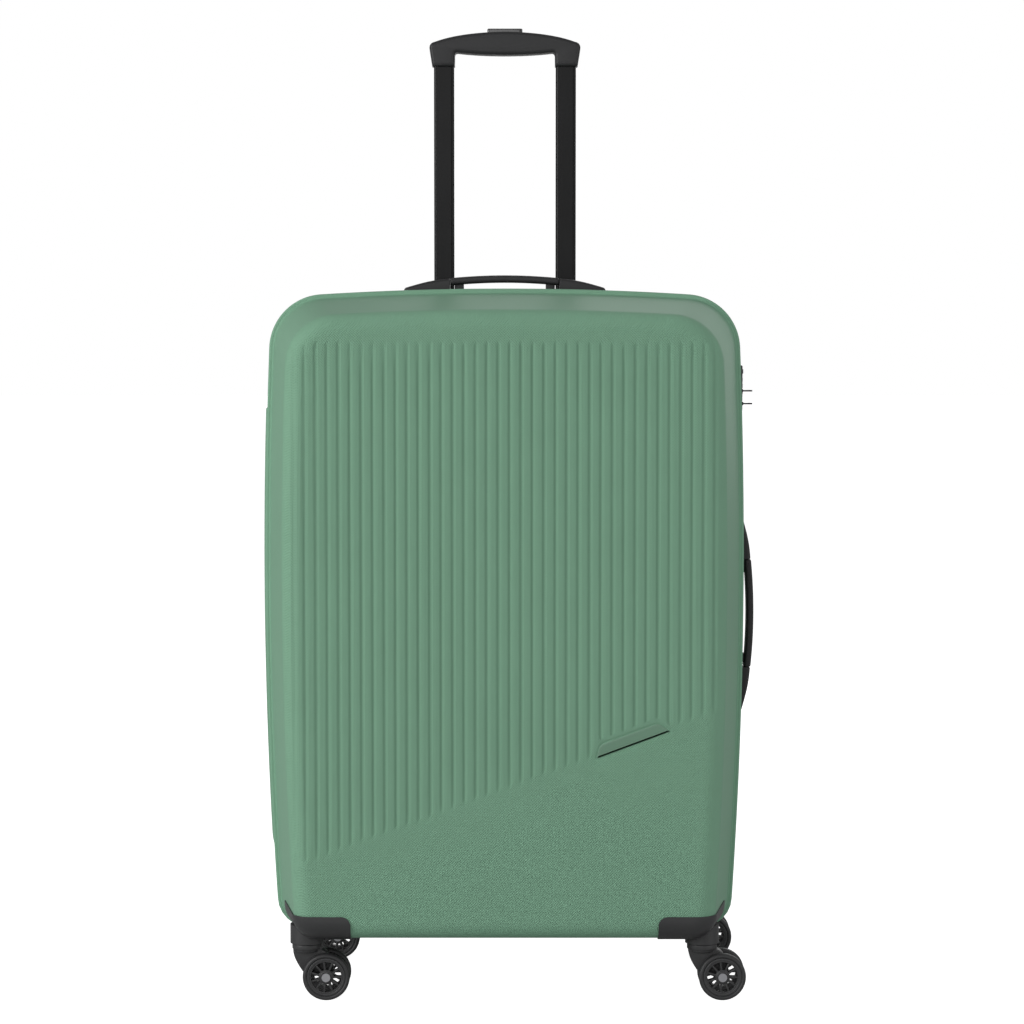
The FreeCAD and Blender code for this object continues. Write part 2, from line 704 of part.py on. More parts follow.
yoke = [box((-tube_x - 3, tube_x + 3), (tube_y - yoke_deep / 2.0, tube_y + yoke_deep / 2.0),
            (yoke_low, yoke_low + yoke_high))]
for sign in (-1, 1):
    x = sign * tube_x
    yoke.append(rod(rod_radius, Vector(x, tube_y, inner_low + 12 + button_travel + 1), Vector(x, tube_y, yoke_low + 1)))
release_yoke = fuse(yoke)


# ---- corner guards, kingpins, casters ----
def guard(side):
    """A skin over one bottom corner of the back half, with the cup that carries the caster."""
    skin = pillow(rim_far, shell_depth + guard_thick, rim_flare - guard_thick)
    cup_body = rod(cup_radius, Vector(side * caster_x, caster_y, cup_low),
                   Vector(side * caster_x, caster_y, cup_low + 20))
    body = fuse([skin.common(guard_zone(side, guard_y)), cup_body]).cut(hull_seated)
    bore = rod(king_radius, Vector(side * caster_x, caster_y, 0), Vector(side * caster_x, caster_y, king_top))
    return body.cut(bore).cut(guard_screw_holes(side))


def guard_floor(y):
    """The inner face of the shell's bottom wall."""
    return shell_bottom + rim_flare + wall + depth_inset(y, bottom_draft)


def guard_screw_spots(side):
    x = side * (caster_x - guard_screw_at)
    return [Vector(x, caster_y + s * guard_screw_at, 0) for s in (-1, 1)]


def guard_screw_holes(side):
    spots = guard_screw_spots(side)
    return Part.makeCompound([rod(screw_radius, p + up * (cup_low + 3), p + up * (guard_floor(p.y) + 0.3)) for p in spots])


def guard_screws(side):
    """Two screws from inside the shell into the guard's cup."""
    screws = []
    for p in guard_screw_spots(side):
        seat = guard_floor(p.y) + 0.3
        shank = rod(screw_radius, p + up * (cup_low + 3), p + up * (seat + 0.5))
        screws.append(shank.fuse(rod(screw_head, p + up * seat, p + up * (seat + 1.8))).removeSplitter())
    return Part.makeCompound(screws)


def kingpin(x, y):
    shaft = rod(king_radius, Vector(x, y, king_low), Vector(x, y, king_top))
    head = rod(king_head, Vector(x, y, king_low - 2.0), Vector(x, y, king_low))
    return fuse([shaft, head])


def fork_profile():
    """Side view of the fork from its swivel axis: shelf on top, curved back, boss round the axle."""
    def at(x, z):
        return Vector(x, -fork_half, z)
    boss = axle_radius + 4.5
    edges = [Part.makeLine(at(-14.7, fork_shelf), at(16.0, fork_shelf)),
             arc(at(16.0, fork_shelf), at(24.0, fork_shelf - 7.5), at(trail + boss, wheel_radius + 3)),
             arc(at(trail + boss, wheel_radius + 3), at(trail + 1, wheel_radius - boss), at(trail - boss, wheel_radius - 2)),
             Part.makeLine(at(trail - boss, wheel_radius - 2), at(-4.5, wheel_radius + 4)),
             arc(at(-4.5, wheel_radius + 4), at(-12.2, fork_shelf - 10.5), at(-14.7, fork_shelf))]
    return Part.Wire(edges)


def fork():
    yoke_body = Part.Face(fork_profile()).extrude(Vector(0, 2 * fork_half, 0))
    top = rod(flange_radius, Vector(0, 0, fork_shelf), Vector(0, 0, fork_top))
    body = fuse([yoke_body, top])
    body = body.cut(rod(king_radius + running_fit, Vector(0, 0, 0), Vector(0, 0, 100)))
    body = body.cut(rod(king_head + 0.4, Vector(0, 0, 0), Vector(0, 0, king_low + running_fit)))
    window_z = fork_shelf - 6.5
    window = rod(4.0, Vector(9.5, -10, window_z), Vector(9.5, 10, window_z))
    body = body.cut(window)
    return body.cut(rod(axle_radius, Vector(trail, -20, wheel_radius), Vector(trail, 20, wheel_radius)))


def axle():
    half = fork_half + wheel_gap + wheel_wide
    shaft = rod(axle_radius, Vector(trail, -half - 0.5, wheel_radius), Vector(trail, half + 0.5, wheel_radius))
    caps = []
    for sign in (-1, 1):
        a = Vector(trail, sign * (half + 0.3), wheel_radius)
        caps.append(rod(4.6, a, a + backward * sign * 1.0))
    return fuse([shaft] + caps)


def wheel(sign):
    """Spoked core and tyre, on one side of the fork."""
    near = sign * (fork_half + wheel_gap)
    far = sign * (fork_half + wheel_gap + wheel_wide)
    a = Vector(trail, near, wheel_radius)
    b = Vector(trail, far, wheel_radius)
    core = rod(tyre_inner, a, b)
    openings = rod(opening_radius, a, b).cut(rod(hub_radius, a, b))
    middle = (near + far) / 2.0
    for i in range(spokes):
        angle = 360.0 * i / spokes
        half = spoke_wide / 2.0
        ys = tuple(sorted((middle - sign * 3.6, middle + sign * 3.6)))
        spoke = box((0, opening_radius + 1), ys, (-half, half))
        spoke.rotate(Vector(0, 0, 0), backward, angle)
        spoke.translate(Vector(trail, 0, wheel_radius))
        openings = openings.cut(spoke)
    core = core.cut(openings).cut(rod(axle_radius + running_fit, a, b))
    tyre = rod(wheel_radius, a, b).cut(rod(tyre_inner, a, b))
    rims = [e for e in tyre.Edges if abs(e.BoundBox.ZLength - 2 * wheel_radius) < 0.1 and e.BoundBox.YLength < 0.1]
    return Part.makeCompound([core, tyre.makeFillet(2.5, rims)])


# ---- linings, with a pocket over the legs of each handle ----
def lining(floor, pockets):
    tub = pillow(lining_mouth, floor, rim_flare + wall + lining_inset, True)
    space = pillow(lining_mouth - 1.0, floor - lining_thick, rim_flare + wall + lining_inset + lining_thick, True)
    body = tub.cut(space)
    lip = pillow(lining_mouth, lining_mouth + lining_thick, rim_flare + wall + free_gap, False)
    body = fuse([body, lip.cut(space)])
    for low, high in pockets:
        grown = box(*[(a - lining_thick, b + lining_thick) for a, b in zip(low, high)])
        body = body.fuse(grown.common(tub)).cut(box(*zip(low, high)))
    return body


def handle_pocket(centre, long_axis):
    """Room behind the lining for a handle's legs, as low and high corners."""
    reach = leg_at + leg_long / 2.0 + 4.0
    deep = hook_top + hook_thick + 2.0
    across = hook_wide / 2.0 + 2.0
    if long_axis == "x":
        return (-reach, handle_y - across, centre - deep), (reach, handle_y + across, centre + 10)
    return (centre - deep, handle_y - across, handle_side_z - reach), (centre + 10, handle_y + across, handle_side_z + reach)


pockets = [handle_pocket(handle_top_z, "x"), handle_pocket(handle_side_x, "z")]
back_lining = lining(lining_floor_back, pockets)
front_lining = flip_front(lining(lining_floor_front, []))

# ---- packing straps on the back lining's floor: one forked strap each side, and the buckle ----
strap_thick = 1.2
strap_wide = 25.0
strap_y = lining_floor_back - lining_thick - free_gap - strap_thick
strap_meet = Vector(0, strap_y, (shell_bottom + shell_top) / 2.0 - 7.0)
buckle_size = (62.0, 7.0, 40.0)
strap_in = 139.0            # outer ends, from the bottom and the top
strap_side = 55.5


def strap(sign):
    arms = []
    for z in (shell_bottom + strap_in, shell_top - strap_in):
        start = Vector(strap_meet.x + sign * (buckle_size[0] / 2.0 + 0.1), strap_y, strap_meet.z)
        end = Vector(sign * (half_width - strap_side), strap_y, z)
        along = end - start
        along.normalize()
        side = Vector(-along.z, 0, along.x) * (strap_wide / 2.0)
        points = [start + side, start - side, end - side, end + side]
        arm = Part.Face(Part.makePolygon(points + points[:1])).extrude(Vector(0, strap_thick, 0))
        arms.append(arm)
    body = fuse(arms)
    near = sign * buckle_size[0] / 2.0
    return body.cut(box(tuple(sorted((near, near - sign * 60))), (strap_y - 5, strap_y + 5),
                        (strap_meet.z - 100, strap_meet.z + 100)))


buckle_x = buckle_size[0] / 2.0
buckle_z = buckle_size[2] / 2.0
strap_buckle = box((-buckle_x, buckle_x), (strap_y + strap_thick - buckle_size[1], strap_y + strap_thick),
                   (strap_meet.z - buckle_z, strap_meet.z + buckle_z))
strap_buckle = strap_buckle.makeFillet(2.0, [e for e in strap_buckle.Edges if e.BoundBox.YMax < strap_y - 3])

# ---- the two half shells with what is cut into them ----
rear_guard_holes = Part.makeCompound([guard_screw_holes(-1), guard_screw_holes(1)])
front_shell = flip_front(half_shell)
pad_x = underside_pad[0] / 2.0
pad = box((-pad_x, pad_x), (-underside_pad_y - underside_pad[1] / 2.0, -underside_pad_y + underside_pad[1] / 2.0),
          (shell_bottom + rim_flare - underside_pad[2], shell_bottom + rim_flare + 10))
pad = pad.cut(flip_front(hull_inner))
front_shell = fuse([front_shell, pad]).cut(rib_grooves).cut(badge_seat).cut(flip_front(rear_guard_holes))

screws_top = on_top(handle_screws())
screws_side = on_side(handle_screws())
back_shell = half_shell.cut(flip_front(rib_grooves)).cut(rear_guard_holes)
back_shell = back_shell.cut(tray_opening).cut(lock_envelope)
for cut in (on_top(handle_slots()), on_side(handle_slots()), on_top(screw_holes()), on_side(screw_holes())):
    back_shell = back_shell.cut(cut)
back_lining = back_lining.cut(box((lock_back - 1, lock_face), lock_y, lock_z))

case_skin = fuse([hull_outer, rim_band])
top_base = on_top(handle_base()).cut(case_skin).cut(on_top(screw_holes()))
side_base = on_side(handle_base()).cut(case_skin).cut(on_side(screw_holes()))
rear_guard_screws = guard_screws(-1).Solids + guard_screws(1).Solids
shell_screws = Part.makeCompound(screws_top.Solids + screws_side.Solids + lock_screws + rear_guard_screws)

nodes = {
    "front_shell": front_shell,
    "front_lining": front_lining,
    "zipper_front": flip_front(zip_half),
    "hinge_tape_front": flip_front(strip_half),
    "badge_plate": badge,
    "back_shell": back_shell,
    "back_lining": back_lining,
    "zipper_back": zip_half,
    "hinge_tape_back": strip_half,
    "strap_left": strap(-1),
    "strap_right": strap(1),
    "strap_buckle": strap_buckle,
    "trolley_tray": trolley_tray,
    "trolley_foot": trolley_foot,
    "outer_tube_left": outer_tubes[0],
    "outer_tube_right": outer_tubes[1],
    "inner_tube_left": inner_tubes[0],
    "inner_tube_right": inner_tubes[1],
    "latch_blocks": latch_blocks,
    "trolley_grip": trolley_grip,
    "trolley_button": trolley_button,
    "release_yoke": release_yoke,
    "top_handle_base": top_base,
    "top_handle_grip": on_top(handle_grip()),
    "side_handle_base": side_base,
    "side_handle_grip": on_side(handle_grip()),
    "shell_screws": shell_screws,
    "lock_body": lock_body,
    "lock_release": lock_release,
    "key_cylinder": key_cylinder,
    "guard_screws_front": flip_front(Part.makeCompound(rear_guard_screws)),
}
for i, dial in enumerate(dials):
    nodes["lock_dial_%d" % (i + 1)] = dial
for name, z, sign in (("upper", slider_zs[0], 1), ("lower", slider_zs[1], -1)):
    body, eye = slider(z, sign)
    nodes["slider_" + name] = body
    nodes["pull_" + name] = pull(eye)

fork_body = fork()
axle_body = axle()
wheel_bodies = {"front": wheel(-1), "rear": wheel(1)}
for end, y in (("front", -caster_y), ("rear", caster_y)):
    pins = []
    for side, sign in (("left", -1), ("right", 1)):
        corner = guard(sign)
        nodes["guard_%s_%s" % (end, side)] = flip_front(corner) if end == "front" else corner
        pins.append(kingpin(sign * caster_x, y))
        spot = Vector(sign * caster_x, y, 0)
        nodes["fork_%s_%s" % (end, side)] = fork_body.translated(spot)
        nodes["axle_%s_%s" % (end, side)] = axle_body.translated(spot)
        for which, body in wheel_bodies.items():
            nodes["wheel_%s_%s_%s" % (end, side, which)] = body.translated(spot)
    nodes["kingpins_" + end] = Part.makeCompound(pins)

for name, shape in nodes.items():
    placed = shape.translated(Vector(datum_x, 0, 0))
    solids = placed.Solids
    placed = solids[0] if len(solids) == 1 else Part.makeCompound(solids)
    placed.exportStep("parts/" + name + ".step")
    print("%-24s solids %d valid %s volume %.0f" % (name, len(solids), placed.isValid(), placed.Volume))
print("nodes", len(nodes), "datum_x", round(datum_x, 3))
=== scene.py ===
import json
from math import atan, cos, hypot, pi, radians, sin, sqrt, tan

import bpy
import numpy as np
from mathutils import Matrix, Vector


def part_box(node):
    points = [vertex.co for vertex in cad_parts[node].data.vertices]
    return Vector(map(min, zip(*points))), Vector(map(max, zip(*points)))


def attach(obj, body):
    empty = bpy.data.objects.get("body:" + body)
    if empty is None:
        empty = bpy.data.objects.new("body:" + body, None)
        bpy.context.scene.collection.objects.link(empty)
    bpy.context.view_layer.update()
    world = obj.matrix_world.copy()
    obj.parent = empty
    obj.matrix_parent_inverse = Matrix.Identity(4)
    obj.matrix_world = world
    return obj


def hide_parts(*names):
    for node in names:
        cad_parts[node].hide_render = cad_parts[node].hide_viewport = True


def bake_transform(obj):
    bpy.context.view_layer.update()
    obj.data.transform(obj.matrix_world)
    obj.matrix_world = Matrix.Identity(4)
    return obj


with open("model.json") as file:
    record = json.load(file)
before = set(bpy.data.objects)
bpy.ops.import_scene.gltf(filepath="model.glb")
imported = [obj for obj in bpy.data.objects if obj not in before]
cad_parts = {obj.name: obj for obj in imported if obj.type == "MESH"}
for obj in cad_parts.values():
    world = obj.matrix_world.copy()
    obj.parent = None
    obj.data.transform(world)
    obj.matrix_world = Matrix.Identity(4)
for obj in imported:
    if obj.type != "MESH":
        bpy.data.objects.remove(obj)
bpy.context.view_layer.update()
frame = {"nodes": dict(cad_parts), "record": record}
bpy.context.scene.view_settings.view_transform = "Standard"

shellLow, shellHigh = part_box("front_shell")
middleX = (shellLow.x + shellHigh.x) / 2  # the shell's own middle, a little left of the frame's


# ---------- mesh helpers ----------
def makePiece(name, points, faces, smooth=True, extraFaces=()):
    # Faces is an n x 4 array (a triangle repeats its last corner), extraFaces are longer polygons.
    points = np.asarray(points, float).reshape(-1, 3)
    faces = np.asarray(faces, int).reshape(-1, 4)
    single = faces[:, 2] == faces[:, 3]
    counts = np.where(single, 3, 4)
    keep = np.ones(faces.shape, bool)
    keep[single, 3] = False
    corners = faces[keep]
    for extra in extraFaces:
        counts = np.append(counts, len(extra))
        corners = np.append(corners, extra)
    mesh = bpy.data.meshes.new(name)
    mesh.vertices.add(len(points))
    mesh.vertices.foreach_set("co", points.ravel())
    mesh.loops.add(len(corners))
    mesh.loops.foreach_set("vertex_index", corners.astype(np.int32))
    mesh.polygons.add(len(counts))
    mesh.polygons.foreach_set("loop_start", np.concatenate([[0], np.cumsum(counts)[:-1]]).astype(np.int32))
    mesh.polygons.foreach_set("use_smooth", np.full(len(counts), smooth))
    mesh.update(calc_edges=True)
    mesh.validate()
    piece = bpy.data.objects.new(name, mesh)
    bpy.context.scene.collection.objects.link(piece)
    return piece


def gridFaces(rows, cols, wrapRows=False, wrapCols=False, start=0):
    # Quads of a rows x cols grid of points; a wrapped direction joins its last line to its first.
    r = np.arange(rows if wrapRows else rows - 1)
    c = np.arange(cols if wrapCols else cols - 1)
    r, c = np.meshgrid(r, c, indexing="ij")
    r2, c2 = (r + 1) % rows, (c + 1) % cols
    quads = np.stack([r * cols + c, r * cols + c2, r2 * cols + c2, r2 * cols + c], axis=-1)
    return quads.reshape(-1, 4) + start


def place(piece, body, slot, material, replaces=(), crease=None):
    piece.data.materials.append(material)
    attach(piece, body)
    if replaces:
        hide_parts(*replaces)
    if crease:
        piece.data.set_sharp_from_angle(angle=radians(crease))
    return piece


def smoothStep(x, low, high):
    t = np.clip((x - low) / (high - low), 0, 1)
    return t * t * (3 - 2 * t)


# ---------- shader maths ----------
class Value:
    # A node's output, with the arithmetic that makes Math nodes.
    def __init__(self, finish, socket):
        self.finish = finish
        self.socket = socket

    def maths(self, operation, *others):
        inputs = dict(enumerate((self,) + others))
        node = self.finish.node("ShaderNodeMath", {"operation": operation}, inputs)
        return Value(self.finish, node.outputs[0])

    def __add__(self, other):
        return self.maths("ADD", other)

    def __mul__(self, other):
        return self.maths("MULTIPLY", other)

    def __sub__(self, other):
        return self.maths("SUBTRACT", other)


class Finish:
    # One material: a Principled shader with plain values, and links for what varies.
    def __init__(self, name, colour, roughness, **sockets):
        self.material = bpy.data.materials.new(name)
        self.material.use_nodes = True
        self.tree = self.material.node_tree
        self.shader = self.tree.nodes["Principled BSDF"]
        self.colour = colour
        self.shader.inputs["Base Color"].default_value = (*colour, 1)
        self.shader.inputs["Roughness"].default_value = roughness
        for key, value in sockets.items():
            self.shader.inputs[key.replace("_", " ")].default_value = value
        self.place = self.node("ShaderNodeTexCoord").outputs["Object"]

    def node(self, kind, settings=None, inputs=None):
        made = self.tree.nodes.new(kind)
        for key, value in (settings or {}).items():
            setattr(made, key, value)
        for key, value in (inputs or {}).items():
            if isinstance(value, Value):
                value = value.socket
            if isinstance(value, bpy.types.NodeSocket):
                self.tree.links.new(value, made.inputs[key])
            else:
                made.inputs[key].default_value = value
        return made

    def noise(self, scale, detail=2.0, rough=0.5, where=None):
        inputs = {"Vector": where or self.place, "Scale": scale, "Detail": detail, "Roughness": rough}
        return Value(self, self.node("ShaderNodeTexNoise", {}, inputs).outputs["Fac"])

    def axes(self):
        parts = self.node("ShaderNodeSeparateXYZ", {}, {0: self.place}).outputs
        return [Value(self, parts[i]) for i in range(3)]

    def attribute(self, name):
        return Value(self, self.node("ShaderNodeAttribute", {"attribute_name": name}).outputs["Fac"])

    def wave(self, value, length):
        return (value * (2 * pi / length)).maths("SINE")

    def tint(self, amount, darker, lighter):
        # Base colour between two multiples of the plain colour, by a 0 to 1 amount.
        low = (*[min(1, c * darker) for c in self.colour], 1)
        high = (*[min(1, c * lighter) for c in self.colour], 1)
        mix = self.node("ShaderNodeMix", {"data_type": "RGBA"}, {0: amount, 6: low, 7: high})
        self.tree.links.new(mix.outputs[2], self.shader.inputs["Base Color"])

    def worn(self, amount, low, high):
        # Roughness between two values by a 0 to 1 amount.
        scaled = amount * (high - low) + low
        self.tree.links.new(scaled.socket, self.shader.inputs["Roughness"])

    def bump(self, height, distance, strength=1.0):
        inputs = {"Height": height, "Distance": distance, "Strength": strength}
        made = self.node("ShaderNodeBump", {}, inputs)
        self.tree.links.new(made.outputs[0], self.shader.inputs["Normal"])


def linear(r, g, b):
    # A colour given as it looks on screen, 0 to 255, as the shader wants it.
    c = np.array([r, g, b]) / 255
    return tuple(float(x) for x in np.where(c <= 0.04045, c / 12.92, ((c + 0.055) / 1.055) ** 2.4))


# ---------- finishes ----------
def greenShell(name, colour):
    finish = Finish(name, colour, 0.55, Specular_IOR_Level=0.16)
    x, y, z = finish.axes()
    step = 0.0028  # along each diagonal
    first = finish.wave(x + z + y * 1.7, step)
    second = finish.wave(x - z + y * 0.6, step)
    emboss = finish.attribute("emboss")
    diamonds = (first.maths("MAXIMUM", second)) * emboss
    cloud = finish.noise(9, 3)
    fine = finish.noise(900, 1)
    finish.bump(diamonds + fine * 0.2, 0.0004, 0.9)
    finish.tint(cloud * 0.3 + diamonds * 0.25 + fine * 0.15 + 0.15, 0.87, 1.12)
    finish.worn(fine * 0.6 + cloud * 0.4, 0.46, 0.58)
    return finish.material


def grainedPlastic(name, colour, roughness, grain=0.00003, **sockets):
    finish = Finish(name, colour, roughness, **sockets)
    fine = finish.noise(1400, 2)
    cloud = finish.noise(14, 3)
    finish.bump(fine, grain)
    finish.tint(cloud * 0.7 + fine * 0.3, 0.85, 1.2)
    finish.worn(fine * 0.5 + cloud * 0.5, roughness - 0.07, roughness + 0.07)
    return finish.material


def drawnMetal(name, colour, roughness, metallic, **sockets):
    # Long faint drawing lines along the tube.
    finish = Finish(name, colour, roughness, Metallic=metallic, **sockets)
    stretched = finish.node("ShaderNodeMapping", {}, {0: finish.place, "Scale": (1, 1, 0.012)}).outputs[0]
    lines = finish.noise(2600, 2, where=stretched)
    cloud = finish.noise(20, 3)
    finish.bump(lines, 0.000006)
    finish.tint(lines * 0.4 + cloud * 0.6, 0.85, 1.15)
    finish.worn(lines * 0.5 + cloud * 0.5, roughness * 0.75, roughness * 1.3)
    return finish.material


def wovenCloth(name, colour, thread):
    roughness = 0.85
    finish = Finish(name, colour, roughness, Sheen_Weight=0.25)
    x, y, z = finish.axes()
    warp = finish.wave(x + y, thread)
    weft = finish.wave(z + y * 0.37, thread)
    weave = warp * weft
    fluff = finish.noise(600, 3)
    finish.bump(weave + fluff * 0.6, thread * 0.18)
    finish.tint(weave * 0.25 + fluff * 0.5 + 0.25, 0.75, 1.2)
    finish.worn(fluff, roughness - 0.08, roughness + 0.05)
    return finish.material


green = linear(117, 157, 132)
shellFinish = greenShell("shellGreen", green)
rimFinish = grainedPlastic("stripGreen", linear(108, 145, 122), 0.5, 0.00002)
badgeFinish = grainedPlastic("badgeGreen", linear(92, 125, 104), 0.38, 0.00001)
# Near-black green for the badge's groove: painted shadow in the recess round the plate, not a colour of the
# part.
grooveShadowFinish = grainedPlastic("badgeGroovePaintedShadow", linear(30, 42, 35), 0.6, 0.00001)
plasticFinish = grainedPlastic("blackPlastic", linear(45, 45, 46), 0.46)
gripFinish = grainedPlastic("gripBlack", linear(42, 42, 43), 0.45, 0.00002, Specular_IOR_Level=0.25)
glossFinish = grainedPlastic("glossBlack", linear(18, 18, 19), 0.22, 0.000004, Coat_Weight=0.4)
lockFinish = grainedPlastic("lockBlack", linear(30, 30, 31), 0.33, 0.000008)
tubeFinish = drawnMetal("tubeBlack", linear(11, 11, 12), 0.34, 0.0, Specular_IOR_Level=0.16)
aluminiumFinish = drawnMetal("tubeSilver", linear(190, 192, 195), 0.3, 1.0)
steelFinish = drawnMetal("zincSteel", linear(180, 180, 184), 0.35, 1.0)
darkMetalFinish = drawnMetal("darkMetal", linear(45, 45, 47), 0.3, 0.9)
wheelFinish = grainedPlastic("wheelCore", linear(46, 46, 47), 0.42, 0.00002)
tyreFinish = grainedPlastic("tyreRubber", linear(40, 40, 41), 0.55, 0.00003)
liningFinish = wovenCloth("liningCloth", linear(122, 126, 132), 0.0011)
tapeFinish = wovenCloth("zipTape", linear(34, 35, 37), 0.0009)
coilFinish = grainedPlastic("zipCoil", linear(30, 31, 33), 0.35, 0.000005)
strapFinish = wovenCloth("strapWebbing", linear(40, 41, 44), 0.0016)

slotFinish = {"shell_green": shellFinish, "badge_green": badgeFinish, "hinge_green": rimFinish,
              "zip_black": tapeFinish, "lining_grey": liningFinish, "strap_black": strapFinish,
              "black_plastic": plasticFinish, "gloss_black": glossFinish, "tube_black": tubeFinish,
              "tube_silver": aluminiumFinish, "wheel_core": wheelFinish, "steel": steelFinish,
              "dark_metal": darkMetalFinish, "lock_black": lockFinish}
for entry in frame["record"]["subparts"]:
    node = frame["nodes"][entry["node"]]
    node.data.materials.clear()
    node.data.materials.append(slotFinish[entry["material_slot"]])
print("finishes ready")

# ---------- the case's outline ----------
case = {"sideRadius": 5.766, "crownRadius": 3.2, "widestZ": 0.452, "topCorner": 0.060,
        "bottomCorner": 0.032, "sideDraft": radians(10.3), "topDraft": radians(8.9),
        "bottomDraft": radians(3.0), "rimNear": 0.007, "rimFar": 0.016, "flare": 0.005,
        "edgeRound": 0.022, "wall": 0.0025, "halfWidth": (shellHigh.x - shellLow.x) / 2,
        "top": shellHigh.z, "bottom": shellLow.z, "depth": -shellLow.y}


def arcPoints(cx, cz, radius, start, end, count):
    angle = np.linspace(start, end, count)
    return np.stack([cx + radius * np.sin(angle), cz + radius * np.cos(angle)], axis=1)


def atShares(path, shares):
    # Points of a dense path at shares of its length.
    run = np.concatenate([[0], np.cumsum(np.hypot(*np.diff(path, axis=0).T))])
    want = shares * run[-1]
    return np.stack([np.interp(want, run, path[:, 0]), np.interp(want, run, path[:, 1])], axis=1)


def halfPaths(sideIn, topIn, bottomIn, topCorner, bottomCorner, dense=160):
    # Right half of the outline: crown arc, corner arc, bowed side, corner arc, flat bottom. Cut at
    # the corners' middles.
    sideC = case["halfWidth"] - case["sideRadius"]
    crownC = case["top"] - case["crownRadius"]
    sideR, crownR = case["sideRadius"] - sideIn, case["crownRadius"] - topIn
    low = case["bottom"] + bottomIn
    # centre of the top corner: its distances to the side's and the crown's centres are known
    dx, dz = 0.0 - sideC, crownC - case["widestZ"]
    apart = hypot(dx, dz)
    a, b = sideR - topCorner, crownR - topCorner
    along = (a * a - b * b + apart * apart) / (2 * apart)
    off = sqrt(a * a - along * along)
    cx = sideC + (along * dx + off * -dz) / apart
    cz = case["widestZ"] + (along * dz + off * dx) / apart
    crownEnd = atan(cx / (cz - crownC))
    sideStart = atan((cz - case["widestZ"]) / (cx - sideC))
    bz = low + bottomCorner
    bx = sideC + sqrt((sideR - bottomCorner) ** 2 - (bz - case["widestZ"]) ** 2)
    sideEnd = atan((bz - case["widestZ"]) / (bx - sideC))
    half = (pi / 2 - sideStart + crownEnd) / 2
    crown = arcPoints(0, crownC, crownR, 0, crownEnd, dense)
    cornerA = arcPoints(cx, cz, topCorner, crownEnd, half, dense)
    cornerB = arcPoints(cx, cz, topCorner, half, pi / 2 - sideStart, dense)
    side = arcPoints(sideC, case["widestZ"], sideR, pi / 2 - sideStart, pi / 2 - sideEnd, dense * 4)
    lower = (pi / 2 - sideEnd + pi) / 2
    cornerC = arcPoints(bx, bz, bottomCorner, pi / 2 - sideEnd, lower, dense)
    cornerD = arcPoints(bx, bz, bottomCorner, lower, pi, dense)
    floor = np.array([[bx, low], [0, low]])
    top = np.concatenate([crown, cornerA])
    side = np.concatenate([cornerB, side, cornerC])
    return top, side, np.concatenate([cornerD, floor])


def outlineLoop(shares, *insets):
    # Closed loop from the bottom left corner: bottom, right side, top, left side. Shares are its
    # three sets of spacings.
    across, upward = shares
    top, side, bottom = halfPaths(*insets)
    rightBottom = atShares(bottom[::-1], np.abs(across))
    bottomLine = np.stack([rightBottom[:, 0] * np.sign(across), rightBottom[:, 1]], axis=1)
    rightSide = atShares(side[::-1], upward)
    rightTop = atShares(top, np.abs(across))
    topLine = np.stack([rightTop[:, 0] * np.sign(across), rightTop[:, 1]], axis=1)
    leftSide = rightSide * [-1, 1]
    return np.concatenate([bottomLine[:-1], rightSide[:-1], topLine[::-1][:-1], leftSide[::-1][:-1]])


def loopNormals(loop):
    step = np.roll(loop, -1, axis=0) - np.roll(loop, 1, axis=0)
    step /= np.linalg.norm(step, axis=1, keepdims=True)
    return np.stack([step[:, 1], -step[:, 0]], axis=1)


# ---------- shaping helpers ----------
def rectangle(halfU, halfV):
    # Its four corners, run anticlockwise.
    return np.array([[-halfU, -halfV], [halfU, -halfV], [halfU, halfV], [-halfU, halfV]])


def miterDirections(loop):
    # How far each corner of a closed outline moves when its sides move out by one: the sum of the
    # two normals over 1 + their product.
    edge = np.roll(loop, -1, axis=0) - loop
    edge = edge / np.linalg.norm(edge, axis=1, keepdims=True)
    normal = np.stack([edge[:, 1], -edge[:, 0]], axis=1)
    before = np.roll(normal, 1, axis=0)
    return (normal + before) / (1 + np.sum(normal * before, axis=1, keepdims=True))


def turned3d(points, plane):
    # Outline axes u, v and carry axis w as x, y, z: seen from the front, from the right or from above.
    u, v, w = points[:, 0], points[:, 1], points[:, 2]
    return {"front": np.stack([u, -w, v], 1), "side": np.stack([w, u, v], 1),
            "top": np.stack([u, v, w], 1)}[plane]


def prism(loop, near, far, edge, plane, steps=5):
    # An outline carried from near to far. Its rims follow a quarter circle: in by edge(1 - sin t),
    # along by edge(1 - cos t).
    loop = np.asarray(loop, float)
    out = miterDirections(loop)
    turn = np.linspace(0, pi / 2, steps)
    into = edge * (1 - np.sin(turn))
    along = edge * (1 - np.cos(turn))
    insets = np.concatenate([into, into[::-1]])
    levels = np.concatenate([near + along, far - along[::-1]])
    flat = loop[None] - out[None] * insets[:, None, None]
    deep = np.broadcast_to(levels[:, None, None], flat.shape[:2] + (1,))
    points = np.concatenate([flat, deep], axis=2).reshape(-1, 3)
    n = len(loop)
    caps = [np.arange(n)[::-1], np.arange(n) + (len(levels) - 1) * n]
    return turned3d(points, plane), gridFaces(len(levels), n, wrapCols=True), caps


def turnedRing(section, centre, axis, count=64):
    # A closed section of (radius, along) points carried round an axis: centre + radius (cos a, sin
    # a) + along.
    section = np.asarray(section, float)
    angle = np.linspace(0, 2 * pi, count, endpoint=False)
    r, along = section[:, 0][None, :], section[:, 1][None, :]
    p, q = r * np.cos(angle)[:, None], r * np.sin(angle)[:, None]
    along = np.broadcast_to(along, p.shape)
    stack = {"y": (q, along, p), "z": (p, q, along), "x": (along, p, q)}[axis]
    points = np.stack(stack, axis=-1).reshape(-1, 3) + np.asarray(centre, float)
    return points, gridFaces(count, len(section), wrapRows=True, wrapCols=True)


